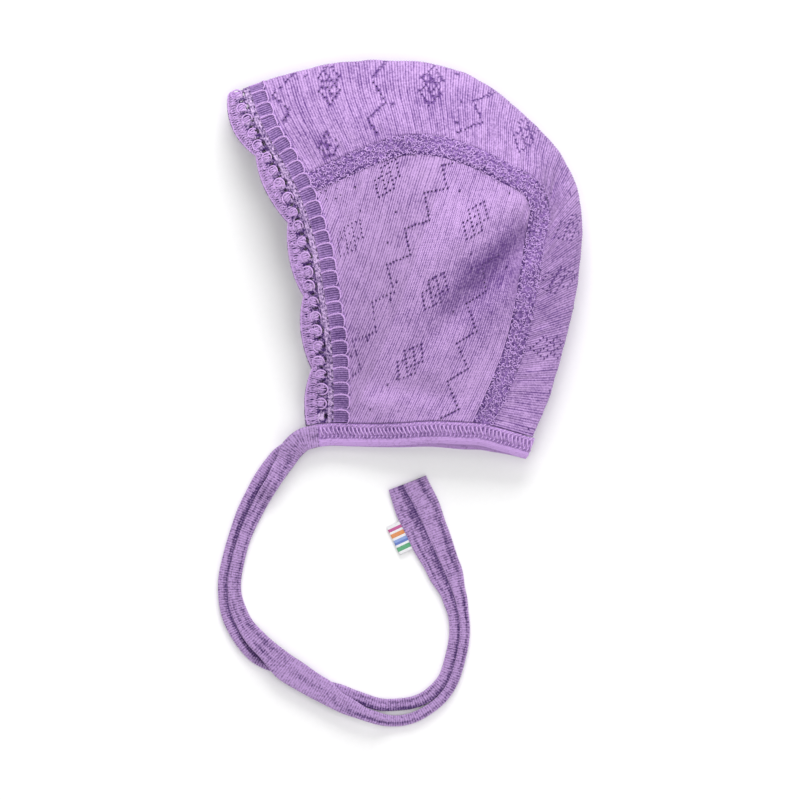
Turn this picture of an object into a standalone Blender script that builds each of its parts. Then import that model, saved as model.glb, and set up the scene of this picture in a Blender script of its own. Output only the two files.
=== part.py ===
"""A baby's knitted bonnet with a scalloped lace edge, lying on its side with its two ties laid in a loop.

Metres, +Z up. The bonnet lies on z = 0: the face opening is towards -X, the crown towards +Y, and the origin
is in the middle of the flat underside. Each half of the bonnet is drawn in plan and then lifted on to its
surface.
"""

import math

import bmesh
import bpy
import numpy as np

# Bonnet sizes
BONNET_DEPTH = 0.160  # tip of the lace at the forehead to the back of the crown
BONNET_HEIGHT = 0.180  # crown to the lowest corner of the nape
PUFF = 0.046  # height that the upper half keeps as it lies
FOLD_RISE = 0.019  # height of the crown's fold line above the surface
FOLD_ROUND = 0.032  # how far in from the fold the cloth takes to level out
NAPE_SLIP = 0.0025  # how far the lower half shows past the upper one at the nape

# Cloth and trims
CLOTH = 0.0012  # rib knit
SEAM_WIDTH = 0.0085  # flat overlocked seam
SEAM_THICK = 0.0017
SEAM_RAISE = 0.0005  # how far a seam stands proud of the knit
LADDER_WIDTH = 0.0066
LADDER_THICK = 0.0013
LACE_WIDTH = 0.0090  # ladder band to the notches between scallops
LACE_THICK = 0.0013
SCALLOP_PITCH = 0.0338
SCALLOP_DEPTH = 0.0042
FIRST_NOTCH = 0.0332  # from the fold to the first notch of the upper half
SCALLOP_ROUND = 0.75  # below 1 for fuller scallops than a sine wave
LACE_HOLE_WIDTH = 0.0018  # gaps between the plain edge of the lace and its rosettes
LACE_HOLE_LENGTH = 0.0022
LACE_HOLE_INSET = 0.0026
LACE_HOLES_PER_SCALLOP = 5
BINDING_WIDTH = 0.0100  # jersey folded over the neck edge
BINDING_THICK = 0.0024
BINDING_RAISE = 0.0006
BINDING_START = 0.0058  # from the tip of the neck edge to the place where the binding parts into ties
GAP = 0.00035  # clearance between neighbouring pieces
REST_BLEND = 0.0040  # height over which raised trims sink flush with the flat underside

# Ties: the binding runs on past the chin as two straps
TIE_WIDTH = 0.0118
TIE_THICK = 0.0026
TIE_LOOP_WIDTH = 0.1045
TIE_LOOP_DROP = 0.1230
TIE_CORNER = 0.34  # rounding of a strap's long edges, as a share of its thickness
TIE_LETS_DOWN = 0.14  # share of the route over which the upper tie comes down from the binding
TIE_PARTING = 0.0006  # clearance between the binding's ends and the ties
TAB_LENGTH = 0.0138  # along the tie
TAB_REACH = 0.0064  # how far it stands out of the tie
TAB_THICK = 0.0009
TAB_FROM_END = 0.0215  # middle of the tab to the end of its tie
TAB_RISE = 0.0009

# Outlines in plan, as shares of BONNET_DEPTH from the front and of BONNET_HEIGHT from the nape's corner
ORIGIN_SHARE = (0.545, 0.480)
CROWN_FOLD = (
    (0.107, 0.948), (0.208, 0.975), (0.334, 0.996), (0.461, 1.000), (0.587, 0.990), (0.713, 0.950),
    (0.831, 0.868), (0.938, 0.768), (0.992, 0.660), (1.000, 0.555), (0.986, 0.430), (0.947, 0.275),
    (0.907, 0.155), (0.862, 0.060),
)
SEAM = (
    (0.242, 0.695), (0.334, 0.731), (0.421, 0.763), (0.503, 0.784), (0.579, 0.784), (0.685, 0.758),
    (0.784, 0.715), (0.862, 0.672), (0.881, 0.625), (0.868, 0.555), (0.854, 0.468), (0.834, 0.365),
    (0.809, 0.275), (0.761, 0.168), (0.722, 0.095),
)
FACE_EDGE = (
    (0.107, 0.948), (0.143, 0.859), (0.195, 0.775), (0.242, 0.695), (0.298, 0.548), (0.321, 0.430),
    (0.341, 0.308), (0.348, 0.205), (0.348, 0.095),
)
NECK_EDGE = (
    (0.219, 0.088), (0.292, 0.096), (0.348, 0.095), (0.489, 0.096), (0.573, 0.101), (0.671, 0.098),
    (0.722, 0.095), (0.770, 0.084), (0.862, 0.060),
)
SEAM_TURN = 8  # SEAM point where it turns down the back
CHIN_ON_SEAM = 0.58  # share of the seam's length up to its turn that the rib from the chin runs to

# Hills and valleys of the upper half: centre as for the outlines, radii as shares of BONNET_HEIGHT along and
# across the turned axis, turn in degrees from +X, height as a share of PUFF
DOME_BASE = 0.16
DOME = (
    {"x": 0.630, "y": 0.650, "along": 0.500, "across": 0.500, "turn": 0, "height": 0.90},
    {"x": 0.330, "y": 0.080, "along": 0.170, "across": 0.150, "turn": 0, "height": -0.14},
    {"x": 0.752, "y": 0.467, "along": 0.200, "across": 0.034, "turn": 46, "height": -0.13},
    {"x": 0.820, "y": 0.560, "along": 0.075, "across": 0.035, "turn": 62, "height": -0.03},
    {"x": 0.450, "y": 0.905, "along": 0.110, "across": 0.036, "turn": 4, "height": -0.07},
    {"x": 0.925, "y": 0.690, "along": 0.070, "across": 0.024, "turn": 62, "height": -0.08},
    {"x": 0.550, "y": 0.175, "along": 0.100, "across": 0.030, "turn": -8, "height": -0.05},
    {"x": 0.420, "y": 0.140, "along": 0.070, "across": 0.040, "turn": 0, "height": 0.05},
    {"x": 0.650, "y": 0.545, "along": 0.160, "across": 0.042, "turn": 46, "height": 0.05},
)
# The fold is highest behind the crown and sinks towards the lace and the nape
FOLD_LOW = 0.45
FOLD_HIGH = {"x": 0.685, "y": 0.680, "radius": 0.575}
SLIP_AT = {"x": 0.760, "y": 0.060, "radius": 0.220}

# The ties' shared route from the end of the binding, as shares of TIE_LOOP_WIDTH and TIE_LOOP_DROP
TIE_ROUTE = (
    (0.000, 0.000), (-0.062, -0.014), (-0.129, -0.066), (-0.198, -0.143), (-0.250, -0.216),
    (-0.294, -0.289), (-0.330, -0.366), (-0.359, -0.454), (-0.376, -0.546), (-0.366, -0.619),
    (-0.332, -0.692), (-0.263, -0.766), (-0.150, -0.841), (0.004, -0.915), (0.172, -0.982),
    (0.302, -1.012), (0.407, -1.003), (0.493, -0.965), (0.555, -0.908), (0.596, -0.813),
    (0.615, -0.711), (0.599, -0.610), (0.575, -0.545), (0.532, -0.458), (0.489, -0.377),
    (0.446, -0.289), (0.414, -0.225), (0.390, -0.172),
)
# Along the route: widths as shares of TIE_WIDTH, apart as the space between the two ties in shares of it,
# side as +1 where the upper tie lies inside the loop and -1 outside, and lift as shares of one tie's height
TIE_SECTIONS = (
    {"along": 0.00, "upper": 0.84, "lower": 0.76, "apart": 0.00, "side": 0.0, "lift": 1.12},
    {"along": 0.04, "upper": 0.84, "lower": 0.60, "apart": 0.00, "side": 0.1, "lift": 1.12},
    {"along": 0.07, "upper": 0.66, "lower": 0.46, "apart": 0.00, "side": 0.7, "lift": 1.12},
    {"along": 0.10, "upper": 0.54, "lower": 0.42, "apart": 0.00, "side": 1.0, "lift": 1.12},
    {"along": 0.14, "upper": 0.52, "lower": 0.38, "apart": 0.00, "side": 1.0, "lift": 0.00},
    {"along": 0.20, "upper": 0.46, "lower": 0.32, "apart": 0.00, "side": 1.0, "lift": 0.00},
    {"along": 0.27, "upper": 0.49, "lower": 0.32, "apart": 0.00, "side": 1.0, "lift": 0.00},
    {"along": 0.32, "upper": 0.60, "lower": 0.34, "apart": 0.00, "side": 1.0, "lift": 0.00},
    {"along": 0.37, "upper": 0.74, "lower": 0.34, "apart": 0.00, "side": 1.0, "lift": 1.12},
    {"along": 0.43, "upper": 1.00, "lower": 0.42, "apart": 0.00, "side": 0.1, "lift": 1.12},
    {"along": 0.48, "upper": 0.90, "lower": 0.46, "apart": 0.00, "side": -0.2, "lift": 1.12},
    {"along": 0.52, "upper": 0.66, "lower": 0.46, "apart": 0.00, "side": -0.7, "lift": 1.12},
    {"along": 0.56, "upper": 0.46, "lower": 0.44, "apart": 0.02, "side": -1.0, "lift": 1.12},
    {"along": 0.60, "upper": 0.38, "lower": 0.42, "apart": 0.19, "side": -1.0, "lift": 0.00},
    {"along": 0.66, "upper": 0.34, "lower": 0.44, "apart": 0.02, "side": -1.0, "lift": 0.00},
    {"along": 0.70, "upper": 0.34, "lower": 0.38, "apart": 0.00, "side": -1.0, "lift": 0.00},
    {"along": 0.79, "upper": 0.36, "lower": 0.36, "apart": 0.00, "side": -1.0, "lift": 0.00},
    {"along": 0.82, "upper": 0.46, "lower": 0.42, "apart": 0.00, "side": -1.0, "lift": 0.00},
    {"along": 0.86, "upper": 0.66, "lower": 0.58, "apart": 0.00, "side": -1.0, "lift": 0.00},
    {"along": 0.92, "upper": 0.79, "lower": 0.71, "apart": 0.00, "side": -1.0, "lift": 0.00},
    {"along": 0.96, "upper": 0.88, "lower": 0.74, "apart": 0.00, "side": -1.0, "lift": 0.00},
    {"along": 1.00, "upper": 0.92, "lower": 0.55, "apart": 0.00, "side": -1.0, "lift": 0.00},
)
TIE_CURL = 0.55  # how much a strap thickens as it curls narrow

# Facets
CURVE_SAMPLES = 400
SPAN_SAMPLES = 24
FACE_ROWS = 14
NECK_ROWS = 14
PANEL_COLUMNS = 9
CENTRE_ROWS = 44
CENTRE_COLUMNS = 7
SEAM_ROWS = 2 * CENTRE_ROWS - 1
LADDER_ROWS = 56
BINDING_ROWS = 54
TIE_STATIONS = 72
TAB_ROWS = 4

END_FADE = 0.12  # share of a curve over which its end is moved to meet its neighbour
BINDING_ACROSS = (0.0, 0.12, 0.85, 1.0)
BINDING_PROFILE = (0.75, 1.0, 1.0, 0.45)  # thickness of the binding across it, as shares of BINDING_THICK
ON_FOLD = 1e-7
SLOPE_STEP = 1e-4
MERGE = 1e-7
SHARP_ANGLE = 40

# Colours
LILAC = "#AE87C5"
LILAC_DEEP = "#9A72B4"
LILAC_PALE = "#C3A0D8"
TAB_WHITE = "#EDEDF4"
KNIT_ROUGHNESS = 0.92


def clear_scene():
    for obj in list(bpy.data.objects):
        bpy.data.objects.remove(obj, do_unlink=True)


def srgb(code):
    """Linear RGBA of an sRGB hex colour."""
    channels = [int(code[i : i + 2], 16) / 255 for i in (1, 3, 5)]
    linear = [c / 12.92 if c <= 0.04045 else ((c + 0.055) / 1.055) ** 2.4 for c in channels]
    return (*linear, 1.0)


def cloth_material(name, colour):
    material = bpy.data.materials.new(name)
    material.use_nodes = True
    shader = material.node_tree.nodes["Principled BSDF"]
    shader.inputs["Base Color"].default_value = srgb(colour)
    shader.inputs["Roughness"].default_value = KNIT_ROUGHNESS
    shader.inputs["Metallic"].default_value = 0.0
    return material


# Curves in plan


def in_plan(share):
    """Metres in plan of a point given as shares of the bonnet's depth and height."""
    return np.array(
        [
            (share[0] - ORIGIN_SHARE[0]) * BONNET_DEPTH,
            (share[1] - ORIGIN_SHARE[1]) * BONNET_HEIGHT,
        ]
    )


def arc_lengths(points):
    steps = np.linalg.norm(np.diff(points, axis=0), axis=1)
    return np.concatenate([[0.0], np.cumsum(steps)])


def along(points, shares):
    """Points at these shares of a polyline's length."""
    lengths = arc_lengths(points)
    wanted = np.asarray(shares) * lengths[-1]
    return np.stack([np.interp(wanted, lengths, points[:, k]) for k in range(points.shape[1])], axis=1)


def smooth_curve(points, samples=CURVE_SAMPLES):
    """Cubic curve through the points, sampled evenly along its length."""
    points = np.asarray(points, float)
    knots = arc_lengths(points)
    slopes = np.gradient(points, knots, axis=0)
    found = []
    for k in range(len(points) - 1):
        span = knots[k + 1] - knots[k]
        t = np.linspace(0, 1, SPAN_SAMPLES, endpoint=False)[:, None]
        found.append(
            (2 * t**3 - 3 * t**2 + 1) * points[k]
            + (t**3 - 2 * t**2 + t) * span * slopes[k]
            + (3 * t**2 - 2 * t**3) * points[k + 1]
            + (t**3 - t**2) * span * slopes[k + 1]
        )
    found.append(points[-1:])
    return along(np.concatenate(found), np.linspace(0, 1, samples))


def share_at(curve, point):
    """Share of the curve's length at its sample nearest to a point."""
    nearest = np.argmin(np.linalg.norm(curve - point, axis=1))
    return arc_lengths(curve)[nearest] / arc_lengths(curve)[-1]


def left_normals(curve):
    ahead = np.gradient(curve, axis=0)
    ahead /= np.linalg.norm(ahead, axis=1)[:, None]
    return np.stack([-ahead[:, 1], ahead[:, 0]], axis=1)


def smoothstep(value):
    value = np.clip(value, 0, 1)
    return value * value * (3 - 2 * value)


CROWN_CURVE = smooth_curve([in_plan(p) for p in CROWN_FOLD])
SEAM_CURVE = smooth_curve([in_plan(p) for p in SEAM])
FACE_CURVE = smooth_curve([in_plan(p) for p in FACE_EDGE])
NECK_CURVE = smooth_curve([in_plan(p) for p in NECK_EDGE])
FACE_OUTWARDS = -left_normals(FACE_CURVE)
NECK_OUTWARDS = -left_normals(NECK_CURVE)
TRIM_WIDTH = LADDER_WIDTH + LACE_WIDTH + 2 * GAP


def fold_line():
    """The whole fold: across the trim, over the crown and across the binding, and a little beyond."""
    ahead = CROWN_CURVE[0] + FACE_OUTWARDS[0] * (TRIM_WIDTH + 2 * SCALLOP_DEPTH)
    behind = CROWN_CURVE[-1] + NECK_OUTWARDS[-1] * 2 * BINDING_WIDTH
    return np.concatenate([[ahead], CROWN_CURVE, [behind]])


FOLD_LINE = fold_line()


def from_fold(plan):
    """Distance in plan of each point from the fold, and the direction that leads in from it."""
    starts, ends = FOLD_LINE[:-1], FOLD_LINE[1:]
    runs = ends - starts
    lengths = np.linalg.norm(runs, axis=1)
    inwards = np.column_stack([runs[:, 1], -runs[:, 0]]) / lengths[:, None]
    away = plan[:, None, :] - starts[None]
    t = np.clip((away * runs[None]).sum(axis=2) / lengths**2, 0, 1)
    away -= t[:, :, None] * runs[None]
    distances = np.linalg.norm(away, axis=2)
    nearest = distances.argmin(axis=1)
    picked = np.arange(len(plan))
    distance = distances[picked, nearest][:, None]
    on_fold = distance < ON_FOLD
    direction = np.where(on_fold, inwards[nearest], away[picked, nearest] / np.maximum(distance, ON_FOLD))
    return distance[:, 0], direction


# The lying bonnet's surface


def near(plan, spot):
    """1 at a spot, falling to nothing over its radius."""
    away = np.linalg.norm(plan - in_plan((spot["x"], spot["y"])), axis=1)
    return np.exp(-((away / (spot["radius"] * BONNET_HEIGHT)) ** 2))


def dome(plan):
    """Height of the upper half away from the fold."""
    total = np.full(len(plan), DOME_BASE)
    for hill in DOME:
        away = plan - in_plan((hill["x"], hill["y"]))
        turn = math.radians(hill["turn"])
        u = away[:, 0] * math.cos(turn) + away[:, 1] * math.sin(turn)
        v = away[:, 1] * math.cos(turn) - away[:, 0] * math.sin(turn)
        along_share = u / (hill["along"] * BONNET_HEIGHT)
        across_share = v / (hill["across"] * BONNET_HEIGHT)
        total += hill["height"] * np.exp(-(along_share**2) - across_share**2)
    return PUFF * total


def fold_height(plan):
    return FOLD_RISE * (FOLD_LOW + (1 - FOLD_LOW) * near(plan, FOLD_HIGH))


def slopes(height, plan):
    """How steeply a height over the plan rises along X and along Y."""
    steps = np.eye(2) * SLOPE_STEP
    return np.column_stack([(height(plan + s) - height(plan - s)) / (2 * SLOPE_STEP) for s in steps])


def lay(plan, half):
    """Points of the outer surface over the plan, each with its outward normal.

    half is +1 for the upper side and -1 for the one lain on. Both are a quarter of an ellipse near the fold.
    """
    shape = plan.shape[:-1]
    plan = plan.reshape(-1, 2)
    distance, inwards = from_fold(plan)
    inset = 1 - np.clip(distance / FOLD_ROUND, 0, 1)
    level = np.sqrt(1 - inset**2)[:, None]
    fold, top = fold_height(plan)[:, None], dome(plan)[:, None]
    fold_slope, top_slope = slopes(fold_height, plan), slopes(dome, plan)
    ceiling, ceiling_slope = (top, top_slope) if half > 0 else (0, 0)
    height = fold + (ceiling - fold) * level
    gradual = fold_slope + (ceiling_slope - fold_slope) * level
    steep = (ceiling - fold) * inset[:, None] / FOLD_ROUND * inwards
    normal = half * np.column_stack([-gradual * level - steep, level])
    normal /= np.linalg.norm(normal, axis=1)[:, None]
    slip = NAPE_SLIP * near(plan, SLIP_AT) * smoothstep(1 - inset) if half < 0 else 0
    placed = np.column_stack([plan[:, 0], plan[:, 1] - slip, height, normal])
    return placed.reshape(*shape, 6)


def coons(bottom, top, start, end, shares):
    """Patch in plan between four curves: bottom and top run alongside, start and end join them."""
    rows = np.linspace(0, 1, len(bottom))[:, None, None]
    v = np.asarray(shares)[None, :, None]
    ruled = (1 - v) * bottom[:, None] + v * top[:, None]
    joined = (1 - rows) * start[None] + rows * end[None]
    corners = (1 - rows) * ((1 - v) * bottom[0] + v * top[0]) + rows * ((1 - v) * bottom[-1] + v * top[-1])
    return ruled + joined - corners


def pull_ends(curve, start, end):
    """The curve with its two ends moved to these points, fading out along it."""
    share = np.linspace(0, 1, len(curve))[:, None]
    at_start = smoothstep(1 - share / END_FADE)
    at_end = smoothstep(1 - (1 - share) / END_FADE)
    return curve + at_start * (start - curve[0]) + at_end * (end - curve[-1])


def even_rows(grid, rows):
    """The grid resampled to this many rows, evenly spaced along the surface."""
    steps = np.linalg.norm(np.diff(grid[..., :3], axis=0), axis=2).mean(axis=1)
    lengths = np.concatenate([[0.0], np.cumsum(steps)])
    return rows_at(grid, lengths, np.linspace(0, lengths[-1], rows))


def rows_at(grid, lengths, wanted):
    flat = grid.reshape(len(grid), -1)
    found = [np.interp(wanted, lengths, flat[:, k]) for k in range(flat.shape[1])]
    return np.stack(found, axis=1).reshape(len(wanted), *grid.shape[1:])


def over_the_fold(plan):
    """Lays rows whose last one is on the fold on the upper half, then back along the lower one."""
    return np.concatenate([lay(plan, 1), lay(plan[::-1][1:], -1)])


# Solids


def faces_out(grid):
    """Whether the grid's rows and columns turn the way its normals point."""
    turned = np.cross(np.gradient(grid[..., :3], axis=0), np.gradient(grid[..., :3], axis=1))
    return (turned * grid[..., 3:]).sum() > 0


def add_solid(name, points, faces, colour):
    mesh = bpy.data.meshes.new(name)
    mesh.from_pydata([tuple(p) for p in points], [], faces)
    mesh.materials.append(cloth_material(name, colour))
    model = bmesh.new()
    model.from_mesh(mesh)
    bmesh.ops.remove_doubles(model, verts=model.verts, dist=MERGE)
    model.to_mesh(mesh)
    model.free()
    mesh.shade_smooth()
    mesh.set_sharp_from_angle(angle=math.radians(SHARP_ANGLE))
    obj = bpy.data.objects.new(name, mesh)
    bpy.context.scene.collection.objects.link(obj)
    return obj


def cloth_wall(name, grid, outer, inner, colour, holes=frozenset()):
    """Closed wall between two offsets of a grid, one value a column.

    holes names cells (row, column) cut through. What is raised sinks flush where the grid lies on z = 0.
    """
    outer = np.broadcast_to(outer, grid.shape[1])
    inner = np.broadcast_to(inner, grid.shape[1])
    if not faces_out(grid):
        grid, outer, inner = grid[:, ::-1], outer[::-1], inner[::-1]
        holes = {(r, grid.shape[1] - 2 - c) for r, c in holes}
    places, normals = grid[..., :3], grid[..., 3:]
    free = np.where(normals[..., 2] < 0, smoothstep(places[..., 2] / REST_BLEND), 1.0)
    outside = places + normals * (np.minimum(outer, 0) + np.maximum(outer, 0) * free)[..., None]
    inside = places + normals * np.broadcast_to(inner, free.shape)[..., None]
    rows, columns = grid.shape[:2]

    def corner(r, c, layer):
        return (layer * rows + r) * columns + c

    def has(r, c):
        return 0 <= r < rows - 1 and 0 <= c < columns - 1 and (r, c) not in holes

    faces = []
    for r in range(rows - 1):
        for c in range(columns - 1):
            if not has(r, c):
                continue
            ring = [(r, c), (r + 1, c), (r + 1, c + 1), (r, c + 1)]
            faces.append([corner(*p, 0) for p in ring])
            faces.append([corner(*p, 1) for p in ring[::-1]])
            beside = [(r, c - 1), (r + 1, c), (r, c + 1), (r - 1, c)]
            for k, cell in enumerate(beside):
                if not has(*cell):
                    a, b = ring[k], ring[(k + 1) % 4]
                    faces.append([corner(*b, 0), corner(*a, 0), corner(*a, 1), corner(*b, 1)])
    points = np.concatenate([outside.reshape(-1, 3), inside.reshape(-1, 3)])
    return add_solid(name, points, faces, colour)


# Knit panels and seams


def seam_edge(offset):
    """Curve in plan beside the seam, from face edge to neck edge, on the crown's side where offset > 0."""
    face_length = arc_lengths(FACE_CURVE)[-1]
    neck_length = arc_lengths(NECK_CURVE)[-1]
    face_share = share_at(FACE_CURVE, SEAM_CURVE[0]) - offset / face_length
    neck_share = share_at(NECK_CURVE, SEAM_CURVE[-1]) + offset / neck_length
    curve = SEAM_CURVE + left_normals(SEAM_CURVE) * offset
    start = along(FACE_CURVE, [face_share])[0]
    end = along(NECK_CURVE, [neck_share])[0]
    return pull_ends(curve, start, end), face_share, neck_share


def centre_panel():
    """The strip over the crown, from one seam round to the other."""
    edge, face_share, neck_share = seam_edge(SEAM_WIDTH / 2 + GAP)
    shares = np.cos(np.linspace(math.pi / 2, 0, CENTRE_COLUMNS))
    rows = np.linspace(0, 1, CENTRE_ROWS)
    plan = coons(
        along(edge, rows),
        along(CROWN_CURVE, rows),
        along(FACE_CURVE, face_share * (1 - shares)),
        along(NECK_CURVE, neck_share + (1 - neck_share) * shares),
        shares,
    )
    upper = lay(plan, 1)
    lower = lay(plan[:, ::-1][:, 1:], -1)
    return np.concatenate([upper, lower], axis=1)


def side_panel(half):
    """A cheek panel: its ribs run from the face and neck edges to the seam, and from a point at the brow."""
    edge, face_share, neck_share = seam_edge(-SEAM_WIDTH / 2 - GAP)
    chin_on_neck = share_at(NECK_CURVE, FACE_CURVE[-1])
    turn = share_at(edge, in_plan(SEAM[SEAM_TURN]))
    beside_face = np.linspace(0, 1, FACE_ROWS, endpoint=False)
    beside_neck = np.linspace(0, 1, NECK_ROWS)
    bottom = np.concatenate(
        [
            along(FACE_CURVE, face_share + (1 - face_share) * beside_face),
            along(NECK_CURVE, chin_on_neck + (neck_share - chin_on_neck) * beside_neck),
        ]
    )
    top_shares = np.concatenate([CHIN_ON_SEAM * beside_face, CHIN_ON_SEAM + (1 - CHIN_ON_SEAM) * beside_neck])
    columns = np.linspace(0, 1, PANEL_COLUMNS)
    plan = coons(
        bottom,
        along(edge, turn * top_shares),
        np.repeat(edge[:1], PANEL_COLUMNS, axis=0),
        along(edge, 1 + (turn - 1) * columns),
        columns,
    )
    return lay(plan, half)


def seam_strip(half):
    upper_edge = seam_edge(SEAM_WIDTH / 2)[0]
    lower_edge = seam_edge(-SEAM_WIDTH / 2)[0]
    rows = np.linspace(0, 1, SEAM_ROWS)
    return lay(np.stack([along(upper_edge, rows), along(lower_edge, rows)], axis=1), half)


# Trims


def beside_face(distances):
    """Plan rows from chin to fold, at these distances out of the face edge, all starting on the neck edge."""
    curve = FACE_CURVE[::-1]
    outwards = FACE_OUTWARDS[::-1]
    plan = curve[:, None] + outwards[:, None] * np.asarray(distances)[..., None]
    on_neck = np.interp(plan[0, :, 0], NECK_CURVE[:, 0], NECK_CURVE[:, 1])
    fade = smoothstep(1 - np.linspace(0, 1, len(curve)) / END_FADE)[:, None]
    plan[..., 1] += (on_neck - plan[0, :, 1])[None] * fade
    return plan


def ladder_band():
    return even_rows(over_the_fold(beside_face(GAP + LADDER_WIDTH * np.linspace(0, 1, 3))), LADDER_ROWS)


def scallop_lace():
    """Grid of the lace and its cells that are holes: one column of holes, a few to each scallop."""
    start = 2 * GAP + LADDER_WIDTH
    hole_end = LACE_HOLE_INSET + LACE_HOLE_WIDTH
    base = start + np.array([0, LACE_HOLE_INSET, hole_end, LACE_WIDTH])
    plan = beside_face(base)
    rim = over_the_fold(plan)[:, -1, :3]
    lengths = arc_lengths(rim)
    away = lengths[len(plan) - 1] - lengths
    bump = SCALLOP_DEPTH * np.abs(np.sin(math.pi * (away - FIRST_NOTCH) / SCALLOP_PITCH)) ** SCALLOP_ROUND
    halves = [(bump[: len(plan)], 1), (bump[len(plan) - 1 :][::-1], -1)]
    laid = []
    for depth, half in halves:
        distances = np.tile(base, (len(plan), 1))
        distances = np.concatenate([distances, distances[:, -1:] + depth[:, None]], axis=1)
        laid.append(lay(beside_face(distances), half))
    grid = np.concatenate([laid[0], laid[1][::-1][1:]])
    pitch = SCALLOP_PITCH / LACE_HOLES_PER_SCALLOP
    first = (away[0] - FIRST_NOTCH) % pitch + pitch / 2
    middles = np.arange(first, lengths[-1] - pitch / 2, pitch)
    cuts = np.stack([middles - LACE_HOLE_LENGTH / 2, middles + LACE_HOLE_LENGTH / 2], axis=1).reshape(-1)
    wanted = np.concatenate([[0], cuts, [lengths[-1]]])
    holes = {(2 * k + 1, 1) for k in range(len(middles))}
    return rows_at(grid, lengths, wanted), holes


def neck_binding():
    length = arc_lengths(NECK_CURVE)[-1]
    shares = np.linspace(BINDING_START / length, 1, CURVE_SAMPLES)
    curve = along(NECK_CURVE, shares)
    outwards = along(NECK_OUTWARDS, shares)
    distances = GAP + BINDING_WIDTH * np.array(BINDING_ACROSS)
    plan = curve[:, None] + outwards[:, None] * distances[None, :, None]
    return even_rows(over_the_fold(plan), BINDING_ROWS)


# Ties


def eased(shares, table, column):
    """A column of a table of sections between its rows, level at each row."""
    places = np.array([row["along"] for row in table])
    values = np.array([row[column] for row in table])
    k = np.clip(np.searchsorted(places, shares, side="right") - 1, 0, len(places) - 2)
    t = smoothstep((shares - places[k]) / (places[k + 1] - places[k]))
    return values[k] * (1 - t) + values[k + 1] * t


def tie_lines(binding):
    """Centre line, width and thickness along each tie, from where the binding parts."""
    end, before = binding[:2, :, :3].mean(axis=1)
    ahead = end - before
    ahead /= np.linalg.norm(ahead)
    start = end[:2] + ahead[:2] * TIE_PARTING
    steps = np.array(TIE_ROUTE) * (TIE_LOOP_WIDTH, TIE_LOOP_DROP)
    route = smooth_curve(start + steps)
    shares = np.linspace(0, 1, len(route))
    upper_width = TIE_WIDTH * eased(shares, TIE_SECTIONS, "upper")
    lower_width = TIE_WIDTH * eased(shares, TIE_SECTIONS, "lower")
    apart = GAP + TIE_WIDTH * eased(shares, TIE_SECTIONS, "apart")
    side = eased(shares, TIE_SECTIONS, "side")
    upper_thick, lower_thick = (
        TIE_THICK * (1 + TIE_CURL * (1 - width / TIE_WIDTH)) for width in (upper_width, lower_width)
    )
    hung = end[2] + BINDING_RAISE - BINDING_THICK
    fall = hung * smoothstep(1 - shares / TIE_LETS_DOWN)
    lifted = np.maximum(fall, eased(shares, TIE_SECTIONS, "lift") * (lower_thick + GAP))
    inwards = left_normals(route)
    upper = route + inwards * (side * (lower_width + apart) / 2)[:, None]
    lower = route - inwards * (side * (upper_width + apart) / 2)[:, None]
    return (
        (np.column_stack([upper, lifted + upper_thick / 2]), upper_width, upper_thick),
        (np.column_stack([lower, lower_thick / 2]), lower_width, lower_thick),
    )


def tie_frames(line, width, thick, binding_end):
    """Centres, side and upward directions, widths and thicknesses at the tie's stations.

    The first station is parallel to the end of the binding that it leaves.
    """
    shares = np.linspace(0, 1, TIE_STATIONS)
    both = along(np.column_stack([line, width, thick]), shares)
    centres = both[:, :3]
    ahead = np.gradient(centres, axis=0)
    ahead /= np.linalg.norm(ahead, axis=1)[:, None]
    left = np.column_stack([-ahead[:, 1], ahead[:, 0], np.zeros(len(ahead))])
    across = binding_end[-1, :3] - binding_end[0, :3]
    left /= np.linalg.norm(left, axis=1)[:, None]
    left[0] = across / np.linalg.norm(across)
    left[1] = (left[0] + left[2]) / np.linalg.norm(left[0] + left[2])
    return centres, left, np.cross(ahead, left), both[:, 3], both[:, 4]


def strap(name, frames, colour):
    centres, left, up, width, thick = frames
    soft = TIE_CORNER * thick
    half_width, half_thick = width / 2, thick / 2
    ring = [
        (half_width, half_thick - soft), (half_width - soft, half_thick),
        (soft - half_width, half_thick), (-half_width, half_thick - soft),
        (-half_width, soft - half_thick), (soft - half_width, -half_thick),
        (half_width - soft, -half_thick), (half_width, soft - half_thick),
    ]
    points = np.stack([centres + left * x[:, None] + up * y[:, None] for x, y in ring], axis=1)
    sides = len(ring)
    faces = [list(range(sides))[::-1], [(len(centres) - 1) * sides + k for k in range(sides)]]
    for r in range(len(centres) - 1):
        for k in range(sides):
            a, b = r * sides + k, r * sides + (k + 1) % sides
            faces.append([a, b, b + sides, a + sides])
    return add_solid(name, points.reshape(-1, 3), faces, colour)


def stripe_tab(frames):
    """Folded tab let into the inner edge of the lower tie, near its end."""
    centres, left, _, width, _ = frames
    lengths = arc_lengths(centres)
    middle = lengths[-1] - TAB_FROM_END
    wanted = middle + TAB_LENGTH * np.linspace(-0.5, 0.5, TAB_ROWS)
    edge = centres + left * (width / 2 + GAP)[:, None]
    near_edge = np.stack([np.interp(wanted, lengths, edge[:, k]) for k in range(3)], axis=1)
    out = np.stack([np.interp(wanted, lengths, left[:, k]) for k in range(3)], axis=1)
    far_edge = near_edge + out.mean(axis=0) * TAB_REACH
    points = []
    for level in (TAB_RISE, TAB_RISE + TAB_THICK):
        for row in (near_edge, far_edge):
            points += [(x, y, level) for x, y, _ in row]
    n = TAB_ROWS
    faces = [[2 * n, 3 * n, n, 0], [4 * n - 1, 3 * n - 1, n - 1, 2 * n - 1]]
    for k in range(n - 1):
        faces += [
            [n + k, n + k + 1, k + 1, k],
            [2 * n + k + 1, 3 * n + k + 1, 3 * n + k, 2 * n + k],
            [k + 1, 2 * n + k + 1, 2 * n + k, k],
            [3 * n + k, 3 * n + k + 1, n + k + 1, n + k],
        ]
    return add_solid("stripe_tab", points, faces, TAB_WHITE)


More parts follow.
